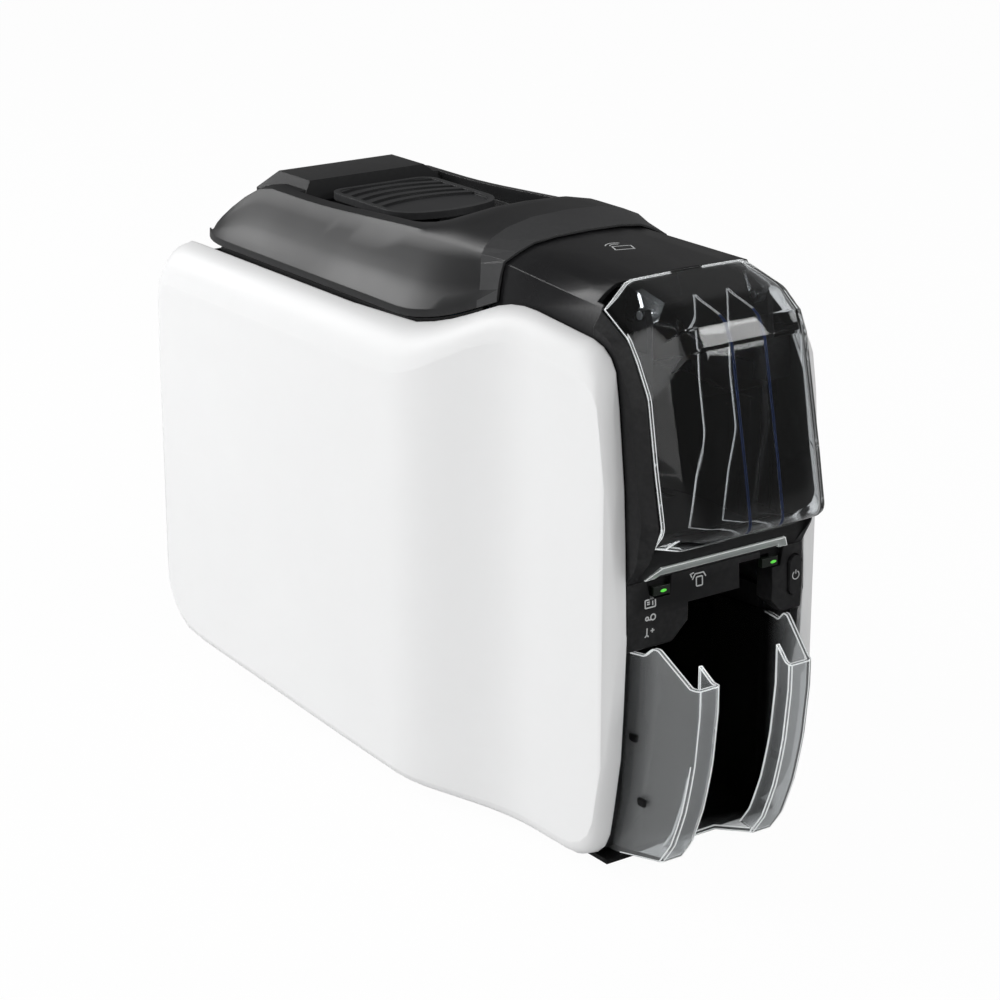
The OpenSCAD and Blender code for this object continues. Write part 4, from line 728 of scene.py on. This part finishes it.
def lit_line(name: str, body: str, finish: Finish, lines: Mesh, radius: float) -> None:
    """Sweeps a thin bar along lines, as a piece of its own: a glowing painted highlight or a painted
    reflection.

    Args:
        name: the piece's name.
        body: the body that carries it.
        finish: its finish.
        lines: a mesh of edges.
        radius: of the bar, in millimetres.
    """
    declare(Repeater(name, finish, {"Radius": radius * MM}).swept(lines), body, finish)


# ---------------------------------------------------------------- signs


SIGN_OUT, SIGN_REACH = 0.04, 0.12  # where the rays for a sign start and how far they go, in metres


def tree_of(node: str) -> BVHTree:
    """Returns the faces of a CAD node, ready for ray casts."""
    return BVHTree.FromPolygons(*faces_of(node))


@dataclass
class Sign:
    """A small printed sign laid on a surface: strokes in millimetres round its own centre.

    The sign lies in the plane of u and v and is pressed on the surface from outside. It is as
    thick above the surface as below it, by lift.
    """

    name: str
    node: str
    body: str
    centre: Point3
    u: Point3
    v: Point3
    strokes: list[list[Point2]]
    width: float = 0.5
    lift: float = 0.06

    def build(self) -> Object:
        """Returns the sign as a thin closed mesh on its surface."""
        u, v = Vector(self.u).normalized(), Vector(self.v).normalized()
        n = u.cross(v).normalized()
        tree = tree_of(self.node)
        points: list[Vector] = []
        faces: list[tuple[int, ...]] = []
        for stroke in self.strokes:
            self._ribbon(self._finer(stroke), points, faces)
        placed = []
        centre = Vector(self.centre) * MM
        for p in points:
            flat = centre + (u * p.x + v * p.y) * MM
            base = tree.ray_cast(flat + n * SIGN_OUT, -n, SIGN_REACH)[0] or flat
            placed.append(base + n * p.z * self.lift * MM)
        mesh = bpy.data.meshes.new(self.name)
        mesh.from_pydata([p[:] for p in placed], [], faces)
        piece = new_piece(self.name, mesh, INK_WHITE)
        return declare(piece, self.body, INK_WHITE)

    @staticmethod
    def _finer(stroke: list[Point2], step: float = 0.8) -> list[Point2]:
        """Adds points to a stroke so that it follows a curved surface.

        Args:
            stroke: its corners.
            step: the longest span left, in millimetres.
        """
        out = [stroke[0]]
        for a, b in zip(stroke, stroke[1:]):
            parts = max(1, math.ceil(math.dist(a, b) / step))
            x, y = b[0] - a[0], b[1] - a[1]
            out += [(a[0] + x * k / parts, a[1] + y * k / parts) for k in range(1, parts + 1)]
        return out

    def _ribbon(
        self, stroke: list[Point2], points: list[Vector], faces: list[tuple[int, ...]]
    ) -> None:
        """Adds one stroke as a flat closed ribbon.

        Args:
            stroke: its centre line; it closes where the ends meet.
            points: all corners so far.
            faces: all faces so far.
        """
        line = [Vector(p) for p in stroke]
        closed = (line[0] - line[-1]).length < 1e-6
        if closed:
            line.pop()
        count, half, base = len(line), self.width / 2, len(points)
        for i, p in enumerate(line):
            before = line[i - 1] if i or closed else None
            after = line[(i + 1) % count] if i < count - 1 or closed else None
            a = (p - before).normalized() if before is not None else (after - p).normalized()
            b = (after - p).normalized() if after is not None else a
            mid = Vector((-(a.y + b.y), a.x + b.x))
            side = mid.normalized() if mid.length > 1e-6 else Vector((-a.y, a.x))
            reach = half / max(0.5, side.dot(Vector((-a.y, a.x))))
            for s, z in ((1, 1), (-1, 1), (-1, -1), (1, -1)):
                points.append(Vector((p.x + side.x * reach * s, p.y + side.y * reach * s, z)))
        spans = count if closed else count - 1
        for i in range(spans):
            c, d = base + 4 * i, base + 4 * ((i + 1) % count)
            for k in range(4):
                m = (k + 1) % 4
                faces.append((c + k, c + m, d + m, d + k))
        if not closed:
            faces.append(tuple(base + k for k in (3, 2, 1, 0)))
            faces.append(tuple(base + 4 * (count - 1) + k for k in range(4)))


def arc(cx: float, cy: float, r: float, a0: float, a1: float, steps: int) -> list[Point2]:
    """Returns points of an arc.

    Args:
        cx: centre across.
        cy: centre up.
        r: radius.
        a0: first angle in degrees.
        a1: last angle in degrees.
        steps: spans along it.
    """
    turn = [math.radians(a0 + (a1 - a0) * i / steps) for i in range(steps + 1)]
    return [(cx + r * math.cos(t), cy + r * math.sin(t)) for t in turn]


def scaled(line: list[Point2], by: float) -> list[Point2]:
    """Returns a stroke drawn larger."""
    return [(x * by, y * by) for x, y in line]


def box_line(x: float, y: float, w: float, h: float, r: float = 0.4) -> list[Point2]:
    """Returns a closed rounded box outline round (x, y)."""
    out: list[Point2] = []
    for sx, sy, start in ((1, 1, 0), (-1, 1, 90), (-1, -1, 180), (1, -1, 270)):
        out += arc(x + sx * (w / 2 - r), y + sy * (h / 2 - r), r, start, start + 90, 3)
    return out + [out[0]]


# ---------------------------------------------------------------- sub-assemblies


@dataclass
class CaseShell:
    """White side panels, dark base and rear cover with its sockets.

    The flat face of a panel is told from its rounding by the parts of the normal that point out,
    up and along.
    """

    face_out: float = 0.6
    face_up: float = 0.06
    face_along: tuple[float, float] = (-0.45, 0.3)

    def build(self) -> None:
        """Dresses the outer case."""
        for node in ("side_panel_left", "side_panel_right"):
            panel = refined(node, "chassis", WHITE_SHELL, 40.0)
            crease(panel.data, self._is_face)
        refined("rear_cover", "chassis", CHARCOAL_SHELL, 32.0)
        dress("base_pan", MATT_BLACK)
        dress("rubber_feet", FOOT_RUBBER)
        dress("panel_posts", MATT_BLACK)
        for node in ("power_inlet", "usb_socket", "network_socket"):
            dress(node, MATT_BLACK)

    def _is_face(self, centre: Vector, normal: Vector) -> bool:
        """Tells the flat face of a panel from the rounding along its edges."""
        out = normal.x * math.copysign(1.0, centre.x)
        first, last = self.face_along
        return out > self.face_out and abs(normal.z) < self.face_up and first < normal.y < last


@dataclass
class LidUnit:
    """Top lid with its release pad, inner frame, latch and printhead.

    The collar is the lid's front, up to the line at collar_y. That line leans back by collar_lean
    over the height collar_h above collar_z, all in metres. Its faces look forward by more than
    collar_front.
    """

    collar_y: float = -0.0532
    collar_z: float = 0.25
    collar_h: float = 0.0235
    collar_lean: float = 0.002
    collar_front: float = 0.05

    def build(self) -> None:
        """Dresses the lid and what it carries."""
        lid = refined("top_lid", "lid", CHARCOAL_SHELL, 26.0)
        crease(lid.data, self._on_collar)
        # painted highlight: the collar faces take a lighter colour
        painted(lid, COLLAR_PAINTED_HIGHLIGHT, self._on_collar)
        # the release pad takes the lighter copy, a painted highlight
        refined("release_button", "release_pad", PAD_PAINTED_HIGHLIGHT, 26.0)
        dress("lid_frame", MATT_BLACK)
        dress("printhead_bracket", STEEL)
        dress("printhead", HEAD_ALLOY)
        dress("latch_lever", MATT_BLACK)
        dress("lid_hinge_pins", STEEL)
        dress("top_deck", MATT_BLACK)

    def _on_collar(self, centre: Vector, normal: Vector) -> bool:
        """Tells the sloping collar at the lid's front from the crest behind it."""
        lean = self.collar_lean * max(0.0, centre.z - self.collar_z) / self.collar_h
        return centre.y < self.collar_y + lean and normal.y < -self.collar_front


@dataclass
class InputHopper:
    """Hopper housing with its sign, the clear cover and the card tray behind it.

    Sizes are in millimetres. Lines within rib_reach of the middle belong to the cover's ribs. The
    plate behind the cards is found by rays from (0, back_y, back_z).
    """

    rib_reach: float = 10.2
    back_y: float = -78.0
    back_z: float = 232.0
    back_spans: int = 36
    back_gap: float = 0.5
    back_thick: float = 1.8
    back_round: float = 0.3

    def build(self) -> None:
        """Dresses the input hopper."""
        refined("hopper_housing", "chassis", SATIN_BLACK, 28.0)
        refined("hopper_cover", "cover", CLEAR, 30.0)
        dress("cover_ears", SMOKE)
        dress("cover_pins", STEEL)
        dress("input_tray", MATT_BLACK)
        self._back_wall()
        self._card_sign()
        self._edges()

    def _back_wall(self) -> None:
        """Closes the housing behind the cards with a plate that follows its inner outline."""
        tree = tree_of("hopper_housing")
        start = Vector((0.0, self.back_y, self.back_z)) * MM
        outline = []
        for k in range(self.back_spans + 1):
            turn = math.pi * k / self.back_spans
            way = Vector((math.cos(turn), 0.0, math.sin(turn)))
            hit = tree.ray_cast(start, way)[0]
            if hit:
                outline.append(hit - way * self.back_gap * MM)
        count = len(outline)
        depth = Vector((0.0, self.back_thick * MM, 0.0))
        points = [p[:] for p in outline] + [(p + depth)[:] for p in outline]
        faces = [tuple(range(count))[::-1], tuple(range(count, 2 * count))]
        faces += [(i, (i + 1) % count, count + (i + 1) % count, count + i) for i in range(count)]
        mesh = bpy.data.meshes.new("housing_back_wall")
        mesh.from_pydata(points, [], faces)
        with worked(mesh) as work:
            bmesh.ops.recalc_face_normals(work, faces=work.faces)
            rim = [e for e in work.edges if e.calc_face_angle(0.0) > RIM_ANGLE]
            round_edges(work, rim, self.back_round)
        declare(new_piece("housing_back_wall", mesh, MATT_BLACK), "chassis", MATT_BLACK)

    def _edges(self) -> None:
        """Lays glowing bars as painted highlights where the clear cover and its ribs catch the
        light, and bluish bars as a painted reflection where the ribs leave the cover.
        """
        reach = self.rib_reach * MM

        def outer(at: Vector, _: Vector, ridge: bool) -> bool:
            """Tells the outer ridges of the cover."""
            return abs(at.x) > reach and ridge

        def rib_back(at: Vector, way: Vector, ridge: bool) -> bool:
            """Tells the free edges of the ribs."""
            return abs(at.x) < reach and abs(way.x) < ACROSS and ridge

        def rib_root(at: Vector, way: Vector, ridge: bool) -> bool:
            """Tells the edges where the ribs leave the cover."""
            return abs(at.x) < reach and abs(way.x) < ACROSS and not ridge

        for name, finish, keep, sink, radius in (
            ("cover_edge_light", LIT_EDGE, outer, 0.5, 0.2),
            ("rib_back_light", LIT_EDGE, rib_back, 0.3, 0.1),
            # painted reflection along the rib roots
            ("rib_root_tint", RIB_PAINTED_REFLECTION, rib_root, 0.4, 0.34),
        ):
            lit_line(name, "cover", finish, edge_lines("hopper_cover", keep, sink), radius)

    def _card_sign(self) -> None:
        """Lays the contactless card sign on top of the housing."""
        card = [(-3.2, -1.2), (2.2, -3.2), (3.4, 0.2), (-2.0, 2.2), (-3.2, -1.2)]
        waves = [arc(-0.6, 2.0, r, 35, 145, 8) for r in (1.9, 3.2)]
        Sign(
            "card_sign", "hopper_housing", "chassis", (-3.0, -96.5, 262.0), (1, 0, 0), (0, 1, 0),
            [scaled(line, 1.5) for line in (card, *waves)], 0.7,
        ).build()


@dataclass
class FrontFace:
    """Bezel, lower front, light bar, lamps, power button and the signs beside them.

    Sizes are in millimetres. The signs are pressed on from sign_y, just ahead of the front.
    """

    sign_x: float = -36.7
    sign_y: float = -175.0
    sign_zs: tuple[float, float, float] = (127.0, 120.6, 113.8)
    lamp_xs: tuple[float, float] = (-29.5, 32.5)
    lamp_size: Point3 = (3.6, 0.7, 1.5)
    lamp_drop: float = 0.3
    lamp_sink: float = 0.1

    def build(self) -> None:
        """Dresses the front."""
        # painted shade: the front parts take the darker copy of the charcoal plastic
        refined("front_bezel", "chassis", FRONT_PAINTED_SHADE, 28.0)
        refined("lower_front", "chassis", FRONT_PAINTED_SHADE, 28.0)
        refined("light_pipe", "chassis", FROSTED, 28.0)
        refined("power_button", "power_key", FRONT_PAINTED_SHADE, 28.0)
        # painted highlight: a glowing bar round the light bar's rim
        rim = edge_lines("light_pipe", lambda at, way, ridge: ridge, 0.3)
        lit_line("bar_edge_light", "chassis", LIT_EDGE, rim, 0.22)
        dress("status_windows", DARK_LENS)
        dress("output_liner", MATT_BLACK)
        self._signs()
        self._status_lamps()

    def _status_lamps(self) -> None:
        """Sets a small green lamp on each of the two status windows."""
        low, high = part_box("status_windows")
        bead = bpy.data.meshes.new("lamp_bead")
        with worked(bead) as work:
            bmesh.ops.create_uvsphere(work, u_segments=16, v_segments=10, radius=1.0)
            for v in work.verts:
                v.co = [c * size * MM / 2 for c, size in zip(v.co, self.lamp_size)]
        z = (low[2] + high[2]) / 2 - self.lamp_drop * MM
        points = [(x * MM, low[1] + self.lamp_sink * MM, z) for x in self.lamp_xs]
        lamps = Repeater("status_lamps", GREEN_GLOW).set_on(bead, points)
        declare(lamps, "chassis", GREEN_GLOW)

    def _signs(self) -> None:
        """Lays the front signs."""
        right, up = (1, 0, 0), (0, 0, 1)
        card = [
            box_line(0, 0, 5.6, 3.6), [(-1.8, 0.7), (-0.2, 0.7)], [(-1.8, -0.2), (-0.2, -0.2)],
            [(1.3, -1.0), (1.3, 1.0)],
        ]
        spools = [
            arc(1.4, 0, 1.3, 0, 360, 14), arc(-1.9, -0.2, 0.8, 0, 360, 10),
            [(-1.1, -0.9), (0.6, -1.0)],
        ]
        clean = [
            [(-1.7, 2.2), (-1.7, -1.2)], [(-2.7, -2.0), (-1.7, -1.0), (-0.7, -2.0)],
            [(1.3, -0.4), (1.3, 1.6)], [(0.3, 0.6), (2.3, 0.6)],
        ]
        feed = [
            [(-2.6, 0.2), (-1.4, 2.0), (2.2, 2.0), (3.2, 0.4)], box_line(0.4, -0.8, 2.6, 3.2),
            [(-2.8, 1.0), (-3.4, 2.2), (-1.9, 2.6)],
        ]
        feed = [scaled(line, 1.3) for line in feed]
        power = [arc(0, 0, 1.9, 120, 420, 18), [(0, 0.6), (0, 2.6)]]
        front, key = ("lower_front", "chassis"), ("power_button", "power_key")
        for name, place, x, z, strokes, width in (
            ("data_sign", front, self.sign_x, self.sign_zs[0], card, 0.62),
            ("ribbon_sign", front, self.sign_x, self.sign_zs[1], spools, 0.62),
            ("clean_sign", front, self.sign_x, self.sign_zs[2], clean, 0.62),
            ("feed_sign", front, -10.0, 132.4, feed, 0.6),
            ("power_sign", key, 44.6, 123.0, power, 0.45),
        ):
            Sign(name, *place, (x, self.sign_y, z), right, up, strokes, width).build()


@dataclass
class OutputBin:
    """The smoked clear output hopper.

    Sizes are in millimetres. Glowing bars paint highlights on the edges as far back as lit_to_y.
    Tabs are wider at the top.
    """

    lit_to_y: float = -150.0
    line_r: float = 0.3
    tab_thick: float = 1.8
    tab_top: float = 5.4
    tab_foot: float = 4.2
    tab_high: float = 3.4
    tab_round: float = 0.3
    tab_places: tuple[Point3, ...] = (
        (-40.1, -157.0, 63.4), (-40.1, -163.5, 34.7), (40.1, -162.0, 68.6), (40.1, -162.0, 36.6),
    )

    def build(self) -> None:
        """Dresses the output hopper."""
        # the back of the output hopper is painted dark by its finish, as painted shade
        refined("output_hopper", "out_hopper", SMOKE, 30.0)
        self._tabs()
        limit = self.lit_to_y * MM
        lines = edge_lines("output_hopper", lambda at, way, ridge: ridge and at.y < limit, 0.45)
        lit_line("hopper_edge_light", "out_hopper", LIT_EDGE, lines, self.line_r)

    def _tabs(self) -> None:
        """Sets the small clip tabs on the inner side of the hopper's outer walls."""
        tab = bpy.data.meshes.new("clip_tab")
        with worked(tab) as work:
            bmesh.ops.create_cube(work, size=1.0)
            for v in work.verts:
                wide = self.tab_top if v.co.z > 0 else self.tab_foot
                v.co = v.co * Vector((self.tab_thick, wide, self.tab_high)) * MM
            round_edges(work, list(work.edges), self.tab_round)
        points = [tuple(c * MM for c in place) for place in self.tab_places]
        tabs = Repeater("hopper_clip_tabs", MATT_BLACK).set_on(tab, points)
        declare(tabs, "out_hopper", MATT_BLACK)


INNER_FINISHES = {
    "frame_left": STEEL, "frame_right": STEEL, "bushes": ACETAL, "card_guide": MATT_BLACK,
    "return_chute": MATT_BLACK, "circuit_board": BOARD, "drive_motor": MOTOR,
    "idler_studs": STEEL, "ribbon_cartridge": CARTRIDGE, "ribbon_film": DYE_FILM,
    "cleaning_roller": CLEANER, "frame_screws": STEEL, "platen_roller": ROLLER_RUBBER,
    "platen_gear": ACETAL, "feed_roller": ROLLER_RUBBER, "feed_gear": ACETAL,
    "rear_roller": ROLLER_RUBBER, "rear_gear": ACETAL, "pick_roller": ROLLER_RUBBER,
    "pick_gear": ACETAL, "front_pinch_roller": STEEL, "rear_pinch_roller": STEEL,
    "front_idler": ACETAL, "rear_idler": ACETAL, "pick_idler": ACETAL, "reducer_gear": ACETAL,
    "motor_pinion": BRASS, "supply_spool": DYE_FILM, "takeup_spool": DYE_FILM,
    "card_gate": MATT_BLACK,
}


class Works:
    """Frames, rollers, gears, ribbon and electronics inside the case."""

    def build(self) -> None:
        """Dresses each inner node."""
        for node, finish in INNER_FINISHES.items():
            dress(node, finish)


# ---------------------------------------------------------------- studio


@dataclass
class Studio:
    """Pale floor, plain soft lamps, white surroundings and the camera.

    The place of the camera is in metres and its angles in degrees. Glossy surfaces show the share
    mirrored of the levels of sky and floor. Lamps go by name, place, size and power.
    """

    place: Point3 = (-0.75098, -1.05069, 0.56073)
    azimuth: float = -35.57
    elevation: float = 18.78
    lens: float = 102.24
    sensor: float = 36.0
    aim: Point3 = (0.0, 0.0, 0.13)
    sky: float = 0.42
    mirrored: float = 0.5
    floor_white: float = 0.9
    floor_eye: float = 0.97
    floor_side: float = 6.0
    lamps: tuple[tuple[str, Point3, float, float], ...] = (
        ("left", (-1.7, -0.3, 0.6), 1.25, 9.0),
        ("rear_left", (-0.85, 1.3, 1.0), 0.8, 16.5),
        ("front", (0.83, -1.24, 0.92), 0.4, 5.5),
    )

    def build(self) -> None:
        """Sets up all of it."""
        self._camera()
        self._floor()
        self._world()
        for lamp in self.lamps:
            self._lamp(*lamp)
        bpy.context.scene.view_settings.view_transform = "Standard"

    def _camera(self) -> None:
        """Makes the camera at the viewing angle."""
        data = bpy.data.cameras.new("view")
        data.lens = self.lens
        data.sensor_width = self.sensor
        camera = bpy.data.objects.new("view", data)
        bpy.context.scene.collection.objects.link(camera)
        turn, rise = math.radians(-self.azimuth), math.radians(self.elevation)
        level = math.cos(rise)
        look = Vector((math.sin(turn) * level, math.cos(turn) * level, -math.sin(rise)))
        camera.location = self.place
        camera.rotation_euler = look.to_track_quat("-Z", "Y").to_euler()
        bpy.context.scene.camera = camera

    def _floor(self) -> None:
        """Makes the floor, which is white to the camera and keeps a soft shadow."""
        mesh = bpy.data.meshes.new("floor")
        corners = [(x * self.floor_side, y * self.floor_side, 0) for x, y in SQUARE]
        mesh.from_pydata(corners, [], [(0, 1, 2, 3)])
        floor = bpy.data.objects.new("floor", mesh)
        bpy.context.scene.collection.objects.link(floor)
        mat = bpy.data.materials.new("floor_white")
        mat.use_nodes = True
        mat.node_tree.nodes.clear()
        nodes = NodeHand(mat.node_tree)
        paint = nodes.add("ShaderNodeBsdfDiffuse")
        lit = nodes.add("ShaderNodeEmission")
        lit.inputs["Strength"].default_value = 1.0
        join = nodes.add("ShaderNodeMixShader")
        out = nodes.add("ShaderNodeOutputMaterial")
        grey = nodes.add("ShaderNodeCombineColor")
        level = dimmed_in_mirrors(nodes, self.floor_white, self.mirrored)
        for channel in ("Red", "Green", "Blue"):
            nodes.link(level, grey.inputs[channel])
        nodes.link(grey.outputs["Color"], paint.inputs["Color"])
        nodes.link(nodes.math("MULTIPLY", seen_by_eye(nodes), self.floor_eye), join.inputs["Fac"])
        nodes.link(paint.outputs["BSDF"], join.inputs[1])
        nodes.link(lit.outputs["Emission"], join.inputs[2])
        nodes.link(join.outputs["Shader"], out.inputs["Surface"])
        mesh.materials.append(mat)

    def _world(self) -> None:
        """Makes surroundings that look white and light the object at a lower level."""
        world = bpy.data.worlds.new("surroundings")
        world.use_nodes = True
        world.node_tree.nodes.clear()
        nodes = NodeHand(world.node_tree)
        back = nodes.add("ShaderNodeBackground")
        out = nodes.add("ShaderNodeOutputWorld")
        level = dimmed_in_mirrors(nodes, self.sky, self.mirrored)
        nodes.link(nodes.math("MAXIMUM", seen_by_eye(nodes), level), back.inputs["Strength"])
        nodes.link(back.outputs["Background"], out.inputs["Surface"])
        bpy.context.scene.world = world

    def _lamp(self, name: str, place: Point3, size: float, power: float) -> None:
        """Adds a soft lamp that faces the object.

        Args:
            name: its name.
            place: where it stands, in metres.
            size: side of its face.
            power: watts.
        """
        data = bpy.data.lights.new(name, "AREA")
        data.size = size
        data.energy = power
        lamp = bpy.data.objects.new(name, data)
        bpy.context.scene.collection.objects.link(lamp)
        lamp.location = place
        way = Vector(self.aim) - Vector(place)
        lamp.rotation_euler = way.to_track_quat("-Z", "Y").to_euler()


def dimmed_in_mirrors(nodes: NodeHand, level: float, share: float) -> Socket:
    """Gives a level that is lower where it shines off a glossy surface.

    Args:
        nodes: the tree being built.
        level: the level elsewhere.
        share: the share of it that glossy surfaces show.

    Returns:
        The level.
    """
    path = nodes.add("ShaderNodeLightPath")
    less = nodes.math("MULTIPLY", path.outputs["Is Glossy Ray"], level * (share - 1))
    return nodes.math("ADD", less, level)


def seen_by_eye(nodes: NodeHand) -> Socket:
    """Tells what is seen from what lights the object.

    Args:
        nodes: the tree being built.

    Returns:
        1 for rays from the camera or straight through clear plastic, and 0 for light on surfaces.
    """
    path = nodes.add("ShaderNodeLightPath")
    bounced = nodes.math("ADD", path.outputs["Diffuse Depth"], path.outputs["Glossy Depth"])
    straight = nodes.math("LESS_THAN", bounced, 0.5)
    through = nodes.math("MULTIPLY", path.outputs["Is Transmission Ray"], straight)
    return nodes.math("MAXIMUM", path.outputs["Is Camera Ray"], through)


def main() -> None:
    """Builds the printer's looks in order."""
    logging.basicConfig(level=logging.INFO, format="%(message)s")
    parts = (Studio(), CaseShell(), LidUnit(), InputHopper(), FrontFace(), OutputBin(), Works())
    for part in parts:
        LOG.info("building %s", type(part).__name__)
        part.build()


if __name__ == "__main__":
    main()
